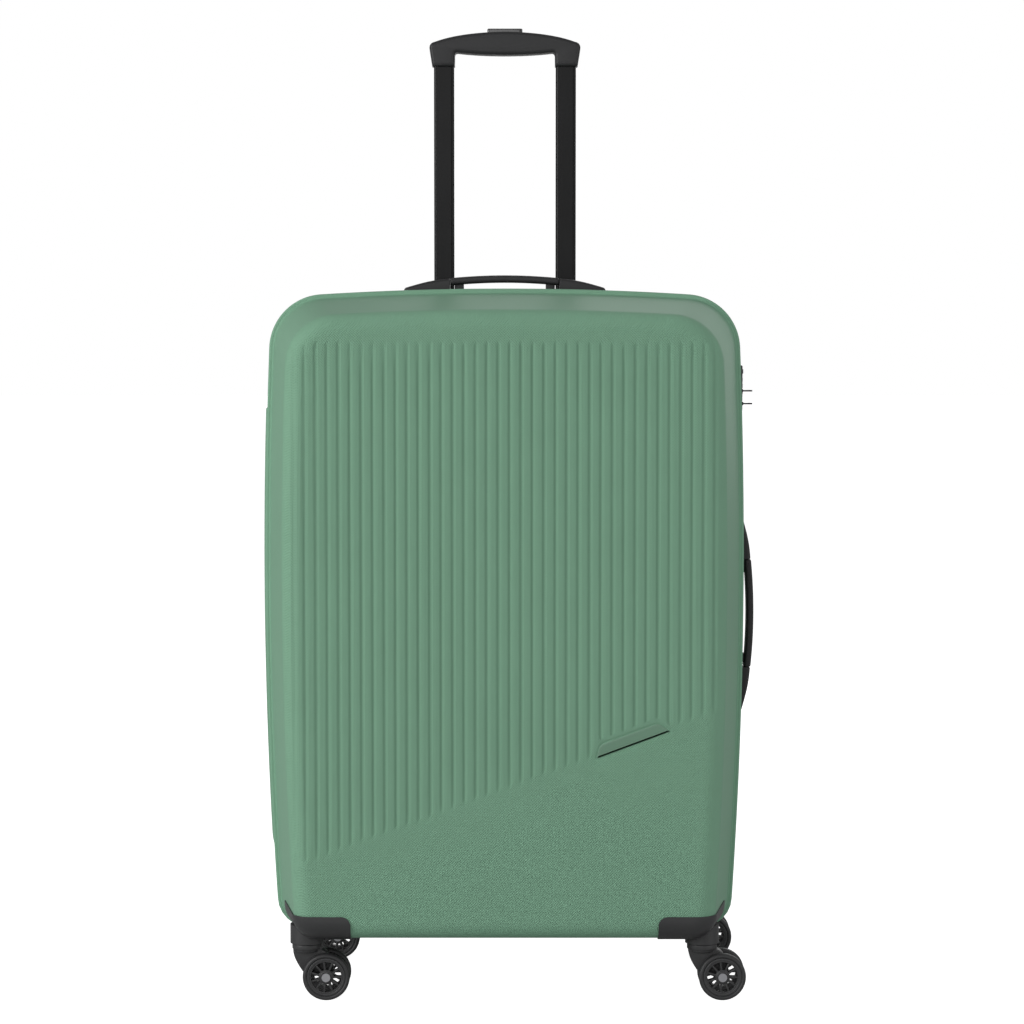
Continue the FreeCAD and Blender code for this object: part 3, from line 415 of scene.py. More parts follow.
def ringSection(inner, outer, low, high, edge, steps=4):
    # Rounded rectangle between two radii and two levels, run so that its faces look outwards.
    t = np.linspace(0, pi / 2, steps)
    c, s = edge * (1 - np.cos(t)), edge * (1 - np.sin(t))
    first = np.stack([outer - s, low + c], 1)
    second = np.stack([outer - c, high - s], 1)
    third = np.stack([inner + s, high - c], 1)
    fourth = np.stack([inner + c, low + s], 1)
    return np.concatenate([first, second, third, fourth])


def bar(along, low, high, halfWide, power=5, count=28):
    # Sections along u: |v / halfWide|^power + |w / half height|^power = 1, between low and high.
    angle = np.linspace(0, 2 * pi, count, endpoint=False)
    c, s = np.cos(angle), np.sin(angle)
    across = np.sign(c) * np.abs(c) ** (2 / power)
    upward = np.sign(s) * np.abs(s) ** (2 / power)
    along, low, high = (np.asarray(v, float)[:, None] for v in (along, low, high))
    halfWide = np.asarray(halfWide, float).reshape(-1, 1) * np.ones_like(along)
    u = along * np.ones_like(across)[None]
    v = halfWide * across[None]
    w = (low + high) / 2 + (high - low) / 2 * upward[None]
    points = np.stack([u, v, w], axis=-1).reshape(-1, 3)
    rows = len(along)
    caps = [np.arange(count)[::-1], np.arange(count) + (rows - 1) * count]
    return points, gridFaces(rows, count, wrapCols=True), caps


def roundedLoop(corners, radius, steps=5):
    # A polygon with each corner replaced by a quadratic curve between the points radius away along
    # its two sides.
    corners = np.asarray(corners, float)
    t = np.linspace(0, 1, steps)[None, :, None]
    radius = np.broadcast_to(np.asarray(radius, float), (len(corners),))[:, None]
    back = np.roll(corners, 1, axis=0) - corners
    ahead = np.roll(corners, -1, axis=0) - corners
    a = corners + back / np.linalg.norm(back, axis=1, keepdims=True) * radius
    b = corners + ahead / np.linalg.norm(ahead, axis=1, keepdims=True) * radius
    curve = a[:, None] * (1 - t) ** 2 + corners[:, None] * 2 * t * (1 - t) + b[:, None] * t ** 2
    return curve.reshape(-1, 2)


def bend(a, middle, b, count=12):
    # The parabola through three points, without its last point.
    t = np.linspace(0, 1, count)[:-1, None]
    a, middle, b = (np.asarray(p, float)[None] for p in (a, middle, b))
    return a * (2 * t - 1) * (t - 1) + middle * 4 * t * (1 - t) + b * t * (2 * t - 1)


def withCaps(shapes):
    # Several (points, faces, caps) as one.
    points, faces, caps, start = [], [], [], 0
    for p, f, extra in shapes:
        points.append(p)
        faces.append(f + start)
        caps += [np.asarray(e) + start for e in extra]
        start += len(p)
    return np.concatenate(points), np.concatenate(faces), caps


# ---------- half shells ----------
ribs = {"pitch": 0.0119, "valley": 0.0066, "deep": 0.0014, "top": 0.7005, "lineMid": 0.229,
        "slope": tan(radians(20.4)), "reach": 0.2285, "fadeEnd": 0.006}
badge = {"length": 0.0833, "height": 0.0127, "lean": 0.0094, "x": 0.1332, "above": 0.0041,
         "margin": 0.0022, "sink": 0.0016, "groove": 0.0014, "grooveWide": 0.0013, "collar": 0.0042,
         "edge": 0.0005, "sinkFade": (0.0012, 0.0024)}


def lineHeight(x):
    return ribs["lineMid"] + x * ribs["slope"]


def badgeAway(x, z):
    # Distance outside the badge's outline, less than zero inside it.
    turn = atan(ribs["slope"])
    dx, dz = x - badge["x"], z - (lineHeight(badge["x"]) + badge["above"])
    u, w = dx * cos(turn) + dz * sin(turn), -dx * sin(turn) + dz * cos(turn)
    slant = badge["length"] / 2 - badge["lean"] * (w / badge["height"] + 0.5)
    steep = cos(atan(badge["lean"] / badge["height"]))
    return np.maximum((np.abs(u) - slant) * steep, np.abs(w) - badge["height"] / 2)


def ribDepth(x, z):
    # Depth of the grooves: a raised cosine across each, rounded ends, none beyond the slanting line
    # or by the badge.
    u = ((x / ribs["pitch"]) % 1.0 - 0.5) * ribs["pitch"]
    half = ribs["valley"] / 2
    across = np.where(np.abs(u) < half, 0.5 + 0.5 * np.cos(pi * u / half), 0)
    fade = ribs["fadeEnd"]
    above = smoothStep(z, lineHeight(x) - 0.001, lineHeight(x) + fade)
    ends = above * (1 - smoothStep(z, ribs["top"] - fade, ribs["top"]))
    sides = 1 - smoothStep(np.abs(x), ribs["reach"] - 0.001, ribs["reach"] + 0.001)
    return ribs["deep"] * across * ends * sides * smoothStep(badgeAway(x, z) - badge["margin"], 0.0, 0.004)


def filletPoint(share, draft, radius):
    # Inset and depth on the rounded edge between panel (0) and wall (1), about one centre for every radius.
    back = case["depth"] - case["edgeRound"]
    centre = case["flare"] + (back - case["rimFar"]) * tan(draft) + case["edgeRound"] / cos(draft)
    turn = share * (pi / 2 - draft)
    return centre - radius * sin(turn), back + radius * cos(turn)


def edgeRow(share, radius, extra):
    # Insets and depths of side, top and bottom, and how much the corners' radii shrink.
    drafts = (case["sideDraft"], case["topDraft"], case["bottomDraft"])
    spots = [filletPoint(share, d, radius) for d in drafts]
    return [p[0] for p in spots], [p[1] for p in spots], radius * (1 - sin(share * pi / 2)) + extra


def wallRow(start, t):
    # Part of the way down the drafted wall from the rounded edge to the rim.
    insets = [a * (1 - t) + case["flare"] * t for a in start[0]]
    depths = [a * (1 - t) + case["rimFar"] * t for a in start[1]]
    return insets, depths, start[2]


def shellRows():
    flare, wall, far, near = (case[k] for k in ("flare", "wall", "rimFar", "rimNear"))
    rows = [edgeRow(share, case["edgeRound"], flare) for share in np.linspace(0, 1, 24)]
    tangent = rows[-1]
    rows += [wallRow(tangent, t) for t in (0.04, 0.15, 0.3, 0.5, 0.7, 0.85, 0.96, 0.985)]
    bead = [(flare - 0.0003, far + 0.0012), (flare - 0.0006, far + 0.0003), (flare - 0.0013, far - 0.0001),
            (flare - 0.0022, far)]
    r = 0.0024
    bead += [(r - r * sin(t), far - r + r * cos(t)) for t in np.linspace(0, pi / 2, 6)]
    bead += [(r - r * cos(t), near + r - r * sin(t)) for t in np.linspace(0, pi / 2, 5)]
    bead += [(flare + wall - 0.0004, near), (flare + wall, near + 0.0004), (flare + wall, far)]
    rows += [([inset] * 3, [depth] * 3, inset) for inset, depth in bead]
    inner = case["edgeRound"] - wall
    rows += [edgeRow(share, inner, flare + wall) for share in np.linspace(1, 0, 7)]
    return rows, 24


def panelColumns(half):
    # Close over each groove, one point on each ridge, and even near the sides.
    cell = np.array([-1, -0.75, -0.5, -0.25, 0, 0.25, 0.5, 0.75, 1]) * ribs["valley"] / 2
    middles = (np.arange(0, 14) + 0.5) * ribs["pitch"]
    ridges = np.arange(1, 15) * ribs["pitch"]
    even = np.arange(ridges[-1] + 0.0012, half, 0.0012)
    right = np.concatenate([(middles[:, None] + cell[None]).ravel(), ridges, even])
    right = np.append(np.sort(right[right < half - 0.0006]), half)
    return np.concatenate([-right[::-1], [0], right])


def panelRows(low, high):
    # Closer along the slanting line, and closest at the badge.
    spans = ((0.138, 0.258, 0.0028), (0.258, 0.308, 0.0014), (0.308, 0.322, 0.0028))
    slant = np.concatenate([np.arange(*span) for span in spans])
    return np.concatenate([np.linspace(low, 0.138, 7)[:-1], slant, np.linspace(0.3245, 0.66, 13)[:-1],
                           np.arange(0.66, high - 0.001, 0.0022), [high]])


def loopOf(row, across, upward):
    insets, depths, shrink = row
    corner = (case["topCorner"] - shrink, case["bottomCorner"] - min(shrink, 0.029))
    loop = outlineLoop((across, upward), *insets, *corner)
    normal = loopNormals(loop)
    side = normal[:, 0] ** 2
    depth = side * depths[0] + (1 - side) * np.where(normal[:, 1] > 0, depths[1], depths[2])
    return loop, normal, depth


def coonsPanel(columns, rows, loop):
    # An upright grid whose outer part slides to meet a closed outline: side move + end move - corner
    # move, each faded inwards.
    nc, nr = len(columns), len(rows)
    x, z = np.meshgrid(columns, rows)
    bottom, right = loop[:nc], loop[nc - 1:nc + nr - 1]
    top = loop[nc + nr - 2:2 * nc + nr - 2][::-1]
    left = np.concatenate([loop[2 * nc + nr - 3:], loop[:1]])[::-1]
    edgeX = {"left": left - np.stack([x[:, 0], z[:, 0]], 1),
             "right": right - np.stack([x[:, -1], z[:, -1]], 1)}
    edgeZ = {"low": bottom - np.stack([x[0], z[0]], 1), "high": top - np.stack([x[-1], z[-1]], 1)}
    move = np.zeros((nr, nc, 2))
    reachX, reachZ = 0.045, 0.05
    wr = smoothStep(columns, columns[-1] - reachX, columns[-1])[None, :, None]
    wl = smoothStep(-columns, columns[-1] - reachX, columns[-1])[None, :, None]
    wh = smoothStep(rows, rows[-1] - reachZ, rows[-1])[:, None, None]
    wb = smoothStep(-rows, -rows[0] - reachZ, -rows[0])[:, None, None]
    move += (wr * edgeX["right"][:, None] + wl * edgeX["left"][:, None]
             + wh * edgeZ["high"][None] + wb * edgeZ["low"][None])
    move -= (wr * wh * edgeX["right"][-1] + wl * wh * edgeX["left"][-1]
             + wr * wb * edgeX["right"][0] + wl * wb * edgeX["left"][0])
    return x + move[..., 0], z + move[..., 1]


def basin(name, sign, rowList, embossed, columns, rows, panelDepth, sink, capLast):
    # Panel grid, then closed loops outwards from its edge, each a row of insets and depths.
    half, low, high = columns[-1], rows[0], rows[-1]
    across = columns / half
    upward = (rows - low) / (high - low)
    first = loopOf(rowList[0], across, upward)[0]
    x, z = coonsPanel(columns, rows, first)
    panel = np.stack([x, panelDepth - sink(x, z), z], axis=-1).reshape(-1, 3)
    loops, emboss = [], []
    for index, row in enumerate(rowList):
        loop, normal, depth = loopOf(row, across, upward)
        share = index / (embossed - 1)
        if share <= 1:
            into = sink(loop[:, 0], loop[:, 1]) * (1 - 0.6 * share)
            depth = depth - into * cos(share * pi / 2)
            loop = loop - normal * (into * sin(share * pi / 2))[:, None]
        loops.append(np.stack([loop[:, 0], depth, loop[:, 1]], axis=1))
        emboss.append(np.full(len(loop), max(0.0, 1 - share * 1.15)))
    loops = loops[1:]
    nr, nc, count = len(rows), len(columns), len(first)
    edge = np.concatenate([np.arange(nc - 1), np.arange(nr - 1) * nc + nc - 1,
                           (nr - 1) * nc + np.arange(nc - 1, 0, -1), np.arange(nr - 1, 0, -1) * nc])
    faces = [gridFaces(nr, nc)]
    previous = edge
    for index in range(len(loops)):
        here = nr * nc + index * count + np.arange(count)
        faces.append(np.stack([previous, here, np.roll(here, -1), np.roll(previous, -1)], axis=1))
        previous = here
    faces = np.concatenate(faces)
    points = np.concatenate([panel] + loops)
    points[:, 1] *= sign
    points[:, 0] += middleX
    last = previous[::-1]
    if sign > 0:
        faces, last = faces[:, ::-1], previous
    piece = makePiece(name, points, faces, True, [last] if capLast else [])
    values = np.concatenate([np.ones(nr * nc)] + emboss[1:])
    raised = piece.data.attributes.new("emboss", "FLOAT", "POINT")
    raised.data.foreach_set("value", values.astype(np.float32))
    return piece


def makeShell(name, sign):
    rowList, embossed = shellRows()
    insets = rowList[0][0]
    half = case["halfWidth"] - insets[0]
    columns = panelColumns(half)
    rows = panelRows(case["bottom"] + insets[2], case["top"] - insets[1])

    def sink(x, z):
        depth = ribDepth(x, z)
        if sign < 0:
            depth = depth + badge["sink"] * (1 - smoothStep(badgeAway(x, z), *badge["sinkFade"]))
        return depth

    return basin(name, sign, rowList, embossed, columns, rows, case["depth"], sink, True)


def cutOpening(piece, box, shrink, index, reach):
    # A box a little smaller than a fitting is taken out of the wall behind it, as a hole with the
    # wall's thickness.
    low, high = np.array(box[0]) + shrink, np.array(box[1]) - shrink
    low[index], high[index] = box[1][index] - reach, box[1][index] + 0.01
    corners = np.array([[x, y, z] for z in (low[2], high[2]) for y in (low[1], high[1])
                        for x in (low[0], high[0])])
    sides = [[0, 2, 3, 1], [4, 5, 7, 6], [0, 1, 5, 4], [2, 6, 7, 3], [0, 4, 6, 2], [1, 3, 7, 5]]
    cutter = makePiece("openingCutter", corners, sides, False)
    modifier = piece.modifiers.new("opening", "BOOLEAN")
    modifier.object = cutter
    modifier.operation = "DIFFERENCE"
    modifier.solver = "EXACT"
    shaped = bpy.data.meshes.new_from_object(piece.evaluated_get(bpy.context.evaluated_depsgraph_get()))
    piece.modifiers.clear()
    piece.data = shaped
    bpy.data.objects.remove(cutter)


frontShell = makeShell("frontShellSkin", -1)
place(frontShell, "front_half", "shell_green", shellFinish, ["front_shell"], 50)
backShell = makeShell("backShellSkin", 1)
cutOpening(backShell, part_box("trolley_tray"), (0.0068, 0.0043, 0), 2, 0.045)
cutOpening(backShell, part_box("lock_body"), (0, 0.0003, 0.0003), 0, 0.025)
place(backShell, "back_half", "shell_green", shellFinish, ["back_shell"], 50)
print("shells ready")


# ---------- badge ----------
def makeBadge():
    # Rows out from the plate: a crowned rim, the groove round it, and a collar that meets the panel. The
    # groove's walls and floor are coloured near black as painted shadow in the recess.
    turn = atan(ribs["slope"])
    half, high = badge["length"] / 2, badge["height"] / 2
    corners = np.array([[-half, -high], [half, -high], [half - badge["lean"], high],
                        [-half + badge["lean"], high]])
    loop = roundedLoop(corners, [0.0028, 0.0028, 0.004, 0.004], 8)
    out = miterDirections(loop)
    e, g, w = badge["edge"], badge["groove"], badge["grooveWide"]
    profile = [(-0.0022, 0.0), (-e, 0.0), (-e * 0.3, -e * 0.3), (0, -e), (0, -g), (w, -g), (w, -e),
               (w + e * 0.3, -e * 0.3), (w + e, 0.00006), (w + e + badge["collar"], 0.00003),
               (w + e + badge["collar"], -0.0004)]
    flat = np.stack([loop + out * inset for inset, level in profile])
    deep = np.array([level for inset, level in profile])[:, None] * np.ones(len(loop))[None]
    x = badge["x"] + flat[..., 0] * cos(turn) - flat[..., 1] * sin(turn)
    z = lineHeight(badge["x"]) + badge["above"] + flat[..., 0] * sin(turn) + flat[..., 1] * cos(turn)
    points = np.stack([x + middleX, -case["depth"] - deep, z], axis=-1).reshape(-1, 3)
    n = len(loop)
    faces = gridFaces(len(profile), n, wrapCols=True)[:, ::-1]
    piece = makePiece("badgeInsert", points, faces, True,
                      [np.arange(n), (np.arange(n) + (len(profile) - 1) * n)[::-1]])
    rim = np.repeat(np.arange(len(profile)) >= 8, n)
    piece.data.attributes.new("emboss", "FLOAT", "POINT").data.foreach_set("value", rim.astype(np.float32))
    piece.data.materials.append(shellFinish)
    piece.data.materials.append(badgeFinish)
    piece.data.materials.append(grooveShadowFinish)
    # Plate rows get the badge green, the groove rows the near-black painted shadow, the rest the shell
    # green.
    row = np.arange(len(faces)) // n
    index = np.concatenate([np.where(row < 3, 1, np.where(row < 6, 2, 0)), [1, 0]])
    piece.data.polygons.foreach_set("material_index", index.astype(np.int32))
    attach(piece, "front_half")
    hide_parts("badge_plate")
    piece.data.set_sharp_from_angle(angle=radians(55))


makeBadge()

# ---------- hinge strip ----------
hinge = {"low": 0.1400, "high": 0.6280, "slant": 0.021, "proud": 0.0015, "reach": 0.0138, "edge": 0.0011}


def sideLine(z, inset):
    radius = case["sideRadius"]
    return -(case["halfWidth"] - radius + np.sqrt((radius - inset) ** 2 - (z - case["widestZ"]) ** 2))


def makeHinge():
    # A flat band over both rims: heights by a line bowed like the side, with rounded edges and a
    # slanted lower end.
    z = np.concatenate([np.linspace(hinge["low"], hinge["low"] + hinge["slant"], 8),
                        np.linspace(0.175, 0.610, 40), np.linspace(0.613, hinge["high"], 8)])
    e, r = hinge["edge"], hinge["reach"]
    section = [(-r, 0.003), (-r, e), (-r + e * 0.3, e * 0.3), (-r + e, 0)]
    section += [(y, 0.0) for y in np.linspace(-0.011, 0.011, 15)]
    section += [(r - e, 0), (r - e * 0.3, e * 0.3), (r, e), (r, 0.003)]
    y = np.array([p[0] for p in section])[None, :] * np.ones(len(z))[:, None]
    inset = np.array([p[1] for p in section])[None, :] - hinge["proud"]
    ending = hinge["proud"] * 1.6 * (1 - smoothStep(z, hinge["low"], hinge["low"] + hinge["slant"]))
    ending += hinge["proud"] * 1.3 * smoothStep(z, hinge["high"] - 0.0015, hinge["high"])
    x = sideLine(z, 0)[:, None] + inset + ending[:, None]
    points = np.stack([x + middleX, y, z[:, None] * np.ones(y.shape[1])[None]], axis=-1).reshape(-1, 3)
    rows, cols = len(z), y.shape[1]
    border = np.concatenate([np.arange(cols), np.arange(1, rows) * cols + cols - 1,
                             (rows - 1) * cols + np.arange(cols - 2, -1, -1),
                             np.arange(rows - 2, 0, -1) * cols])
    piece = makePiece("hingeStrip", points, gridFaces(rows, cols)[:, ::-1], True, [border])
    piece.data.materials.append(rimFinish)
    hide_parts("hinge_tape_front", "hinge_tape_back")
    piece.data.set_sharp_from_angle(angle=radians(40))
    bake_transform(piece)


makeHinge()

# ---------- zip ----------
zipper = {"recess": 0.0042, "tape": 0.0009, "reach": 0.0066, "gap": 0.00025,
          "pitch": 0.0021, "tooth": 0.0013}


def zipLoop(count, inset):
    # The case's outline near the seam, evenly spaced by length, without the part under the hinge strip.
    corner = (case["topCorner"] - inset, case["bottomCorner"] - inset)
    share = np.linspace(-1, 1, 600)
    loop = outlineLoop((share, np.linspace(0, 1, 900)), inset, inset, inset, *corner)
    keep = ~((loop[:, 0] < 0) & (loop[:, 1] > hinge["low"] + 0.001) & (loop[:, 1] < hinge["high"] - 0.001))
    start = int(np.argmax(keep & ~np.roll(keep, 1)))
    loop = np.roll(loop, -start, axis=0)[np.roll(keep, -start)]
    return atShares(loop, np.linspace(0, 1, count))


def makeZip(name, sign, body, node):
    # A tape with a rounded fold by the coil, and half of the coil as short bent teeth.
    loop = zipLoop(700, zipper["recess"])
    step = np.gradient(loop, axis=0)
    step /= np.linalg.norm(step, axis=1, keepdims=True)
    out = np.stack([step[:, 1], -step[:, 0]], axis=1)
    g, r, t = zipper["gap"], zipper["reach"], zipper["tape"]
    section = np.array([(g, 0), (g + 0.0006, 0.0004), (0.0028, 0.0002), (r, 0), (r, -t), (g, -t)])
    x = loop[:, None, 0] + out[:, None, 0] * section[None, :, 1]
    z = loop[:, None, 1] + out[:, None, 1] * section[None, :, 1]
    y = np.broadcast_to(section[None, :, 0], x.shape)
    n = len(section)
    tape = np.stack([x + middleX, y * sign, z], axis=-1).reshape(-1, 3)
    faces = gridFaces(len(loop), n, wrapCols=True)
    caps = [np.arange(n)[::-1], np.arange(n) + (len(loop) - 1) * n]
    if sign < 0:
        faces, caps = faces[:, ::-1], [c[::-1] for c in caps]
    piece = makePiece(name + "Tape", tape, faces, True, caps)
    place(piece, body, "zip_black", tapeFinish, [node], 40)
    length = np.sum(np.hypot(*np.diff(loop, axis=0).T))
    count = int(length / zipper["pitch"])
    spots = atShares(loop, np.linspace(0.001, 0.999, count))
    heading = np.gradient(spots, axis=0)
    heading /= np.linalg.norm(heading, axis=1, keepdims=True)
    away = np.stack([heading[:, 1], -heading[:, 0]], axis=1)
    shape = np.array([(0.00002, 0.0002), (0.00002, 0.0010), (0.0006, 0.0013), (0.0019, 0.0013),
                      (0.0024, 0.0007), (0.0024, 0.0002)])
    halfTooth = zipper["tooth"] / 2
    shift = (sign * 0.25 + 0.25) * zipper["pitch"]
    cells = []
    for side in (-halfTooth, halfTooth):
        px = spots[:, None, 0] + away[:, None, 0] * shape[None, :, 1] + heading[:, None, 0] * (side + shift)
        pz = spots[:, None, 1] + away[:, None, 1] * shape[None, :, 1] + heading[:, None, 1] * (side + shift)
        py = np.broadcast_to(shape[None, :, 0], px.shape) * sign
        cells.append(np.stack([px + middleX, py, pz], axis=-1))
    points = np.stack(cells, axis=1).reshape(-1, 3)
    k = len(shape)
    ring = gridFaces(2, k, wrapCols=True)
    ends = np.array([[0, 1, 2, 3], [0, 3, 4, 5]])
    unit = np.concatenate([ring, ends[:, ::-1], ends + k])
    if sign < 0:
        unit = unit[:, ::-1]
    teeth = (unit[None] + (np.arange(count) * 2 * k)[:, None, None]).reshape(-1, 4)
    coil = makePiece(name + "Coil", points, teeth, False)
    place(coil, body, "zip_black", coilFinish)


makeZip("frontZip", -1, "front_half", "zipper_front")
makeZip("backZip", 1, "back_half", "zipper_back")
print("zip ready")

# ---------- carry handles ----------
handle = {"half": 0.111, "wide": 0.026, "high": 0.0233, "grip": 0.0595, "gap": 0.0006, "thick": 0.0082,
          "tip": 0.0085, "plate": 0.0024, "sunk": 0.0036, "hump": 0.0022, "endRound": 0.0028,
          "buried": 0.004, "legAt": 0.05, "narrowFrom": 0.104, "narrowing": 0.0105, "sag": 0.0030}


def capHeight(u):
    # Top of an end cap: a gentle hump from the grip's level down to its tip, rounded off at the end.
    share = (u - handle["grip"]) / (handle["half"] - handle["grip"])
    slope = (handle["high"] - handle["sunk"]) * (1 - share) + (handle["tip"] + 0.0006) * share
    rise = slope + handle["hump"] * np.sin(pi * share) * (1 - 0.4 * share)
    left = np.clip((handle["half"] - u) / handle["endRound"], 0, 1)
    return rise * (0.55 + 0.45 * np.sqrt(1 - (1 - left) ** 2))


def handleShapes():
    wide = handle["wide"] / 2
    u = np.concatenate([handle["grip"] + handle["gap"] + np.array([0, 0.0002, 0.0006, 0.0012]),
                        np.linspace(0.0635, 0.1065, 18), np.linspace(0.1075, handle["half"], 8)])
    top = capHeight(u)
    top[:3] -= np.array([0.0010, 0.0005, 0.0001])
    past = np.maximum(u - handle["narrowFrom"], 0) / handle["narrowing"]
    narrow = wide * np.sqrt(1 - past ** 2 * 0.55)
    low = np.full(len(u), -handle["buried"])
    right = bar(u, low, top, narrow, 7, 40)
    leftPoints = right[0] * [-1, 1, 1]
    left = (leftPoints, right[1][:, ::-1], [c[::-1] for c in right[2]])
    plateU = np.linspace(-handle["half"] + 0.02, handle["half"] - 0.02, 24)
    plate = bar(plateU, np.full(24, -handle["buried"]), np.full(24, handle["plate"]), wide, 9, 28)
    g = handle["grip"]
    nearEnd = np.array([0, 0.0003, 0.0008, 0.0015])
    u = np.concatenate([-g + nearEnd, np.linspace(-0.055, 0.055, 26), g - nearEnd[::-1]])
    arch = handle["high"] - handle["sag"] * (u / g) ** 2
    ease = np.array([0.0012, 0.0006, 0.0002, 0] + [0] * 26 + [0, 0.0002, 0.0006, 0.0012])
    grip = bar(u, arch - handle["thick"] + ease, arch - ease, wide - 0.001 - ease, 4, 36)
    legs = []
    for side in (-1, 1):
        for half, low, high in ((0.007, -0.0200, 0.0165), (0.010, -0.0203, -0.0178)):
            z = np.array([low, low + 0.0004, high - 0.0004, high])
            foot = rectangle(0.005, half) + [side * handle["legAt"], 0]
            legs.append(prism(roundedLoop(foot, 0.0015, 4), low, high, 0.0006, "top", 3))
    return withCaps([left, right, plate]), withCaps([grip] + legs)


def onWall(points, side, wall):
    # Local u, v, w onto the top, or turned onto the right-hand side.
    if side == "top":
        return points + np.array([middleX, 0, 0]) + np.array(wall)
    return np.stack([points[:, 2], points[:, 1], -points[:, 0]], axis=1) + np.array(wall)


def makeHandles():
    base, grip = handleShapes()
    for side, bodyName in (("top", "top_handle"), ("side", "side_handle")):
        low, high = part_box(side + "_handle_grip")
        middle = (low + high) / 2
        if side == "top":
            wall = (0, middle.y, high.z - handle["high"])
        else:
            wall = (high.x - handle["high"], middle.y, middle.z)
        piece = makePiece(side + "HandleBase", onWall(base[0], side, wall), base[1], True, base[2])
        place(piece, "back_half", "black_plastic", gripFinish, [side + "_handle_base"], 45)
        piece = makePiece(side + "HandleGrip", onWall(grip[0], side, wall), grip[1], True, grip[2])
        place(piece, bodyName, "black_plastic", gripFinish, [side + "_handle_grip"], 45)


makeHandles()

# ---------- trolley grip ----------
grip = {"half": 0.0845, "leg": 0.0814, "shoulder": 0.0145, "legDrop": 0.0385, "under": 0.0259,
        "underEnds": 0.0231, "inside": 0.057, "deep": 0.028, "edge": 0.0042, "buttonLong": 0.0395,
        "buttonDeep": 0.011, "buttonEdge": 0.0011}


def makeGrip():
    low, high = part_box("trolley_grip")
    top, middleY = high.z, (low.y + high.y) / 2
    h, g, i = grip["half"], grip["leg"], grip["inside"]
    s, legs, under, ends = (top - grip[k] for k in ("shoulder", "legDrop", "under", "underEnds"))
    right = [bend((0, top), (0.045, top - 0.0033), (h - 0.006, s + 0.0032), 16),
             bend((h - 0.006, s + 0.0032), (h - 0.0014, s + 0.0008), (h, s - 0.004), 8),
             bend((h, s - 0.004), ((h + g) / 2 + 0.0004, (s + legs) / 2), (g, legs), 8), [(g, legs)],
             bend((i - 0.0008, legs), (i - 0.0009, (legs + ends) / 2), (i - 0.001, ends - 0.003), 6),
             bend((i - 0.001, ends - 0.003), (i - 0.0019, ends - 0.0009), (i - 0.004, ends), 6),
             bend((i - 0.004, ends), (0.028, under + 0.0007), (0, under), 12)]
    right = np.concatenate([np.asarray(p) for p in right])
    left = right[1:][::-1] * [-1, 1]
    bottom = np.array([[0, under]])
    loop = np.concatenate([right, bottom, left])[::-1] + [middleX, 0]
    shape = prism(loop, -middleY - grip["deep"] / 2, -middleY + grip["deep"] / 2, grip["edge"], "front", 7)
    piece = makePiece("trolleyGripBody", *shape[:2], True, shape[2])
    place(piece, "trolley", "black_plastic", gripFinish, ["trolley_grip"], 50)
    low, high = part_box("trolley_button")
    halfX, halfY = grip["buttonLong"] / 2, grip["buttonDeep"] / 2
    corners = rectangle(halfX, halfY) + [middleX, middleY]
    shape = prism(roundedLoop(corners, 0.0035, 7), high.z - 0.012, high.z, grip["buttonEdge"], "top", 5)
    piece = makePiece("trolleyButtonCap", *shape[:2], True, shape[2])
    place(piece, "push_button", "gloss_black", glossFinish, ["trolley_button"], 50)


makeGrip()
print("handles ready")

# ---------- casters ----------
caster = {"wheel": 0.025, "tyreInner": 0.0198, "rimInner": 0.0177, "hub": 0.0068, "spokes": 11,
          "spokeHalf": 0.00085, "tyreEdge": 0.0032, "forkHalf": 0.0075, "flange": 0.016, "trail": 0.021,
          "boss": 0.0075}


def makeWheel(node, bodyName):
    # Tyre, rim and hub are sections turned about the axle, and spokes are flat bars between them.
    low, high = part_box(node)
    centre = (low + high) / 2
    half = (high.y - low.y) / 2
    at = (centre.x, centre.y, centre.z)
    name = node.replace("_", " ").title().replace(" ", "")
    section = ringSection(caster["tyreInner"], caster["wheel"], -half + 0.0002, half - 0.0002,
                          caster["tyreEdge"], 6)
    piece = makePiece("tyre" + name, *turnedRing(section, at, "y", 96))
    place(piece, bodyName, "wheel_core", tyreFinish, (), 50)
    section = ringSection(caster["rimInner"], caster["tyreInner"] + 0.0006, -half + 0.0008, half - 0.0008,
                          0.0006)
    rim = turnedRing(section, at, "y", 88)
    section = ringSection(caster["rimInner"] - 0.0016, caster["rimInner"] + 0.0005, -0.0042, 0.0042, 0.0004)
    web = turnedRing(section, at, "y", 88)
    hub = turnedRing(ringSection(0.0028, caster["hub"], -half + 0.0004, half - 0.0004, 0.0008), at, "y", 48)
    section = ringSection(caster["hub"] - 0.001, caster["hub"] + 0.0011, -0.0046, 0.0046, 0.0005)
    boss = turnedRing(section, at, "y", 48)
    parts = [(p, f, []) for p, f in (rim, web, hub, boss)]
    s = caster["spokeHalf"]
    near, far = caster["hub"] - 0.0006, caster["rimInner"] + 0.0004
    spoke = np.array([[near, -s * 1.35], [far, -s], [far, s], [near, s * 1.35]])
    for turn in np.arange(caster["spokes"]) * 2 * pi / caster["spokes"]:
        c, q = cos(turn), sin(turn)
        flat = np.stack([spoke[:, 0] * c - spoke[:, 1] * q, spoke[:, 0] * q + spoke[:, 1] * c], axis=1)
        flat = flat + [centre.x, centre.z]
        parts.append(prism(flat, -centre.y - 0.0038, -centre.y + 0.0038, 0.0005, "front", 3))
    points, faces, caps = withCaps(parts)
    piece = makePiece("core" + name, points, faces, True, caps)
    place(piece, bodyName, "wheel_core", wheelFinish, [node], 40)


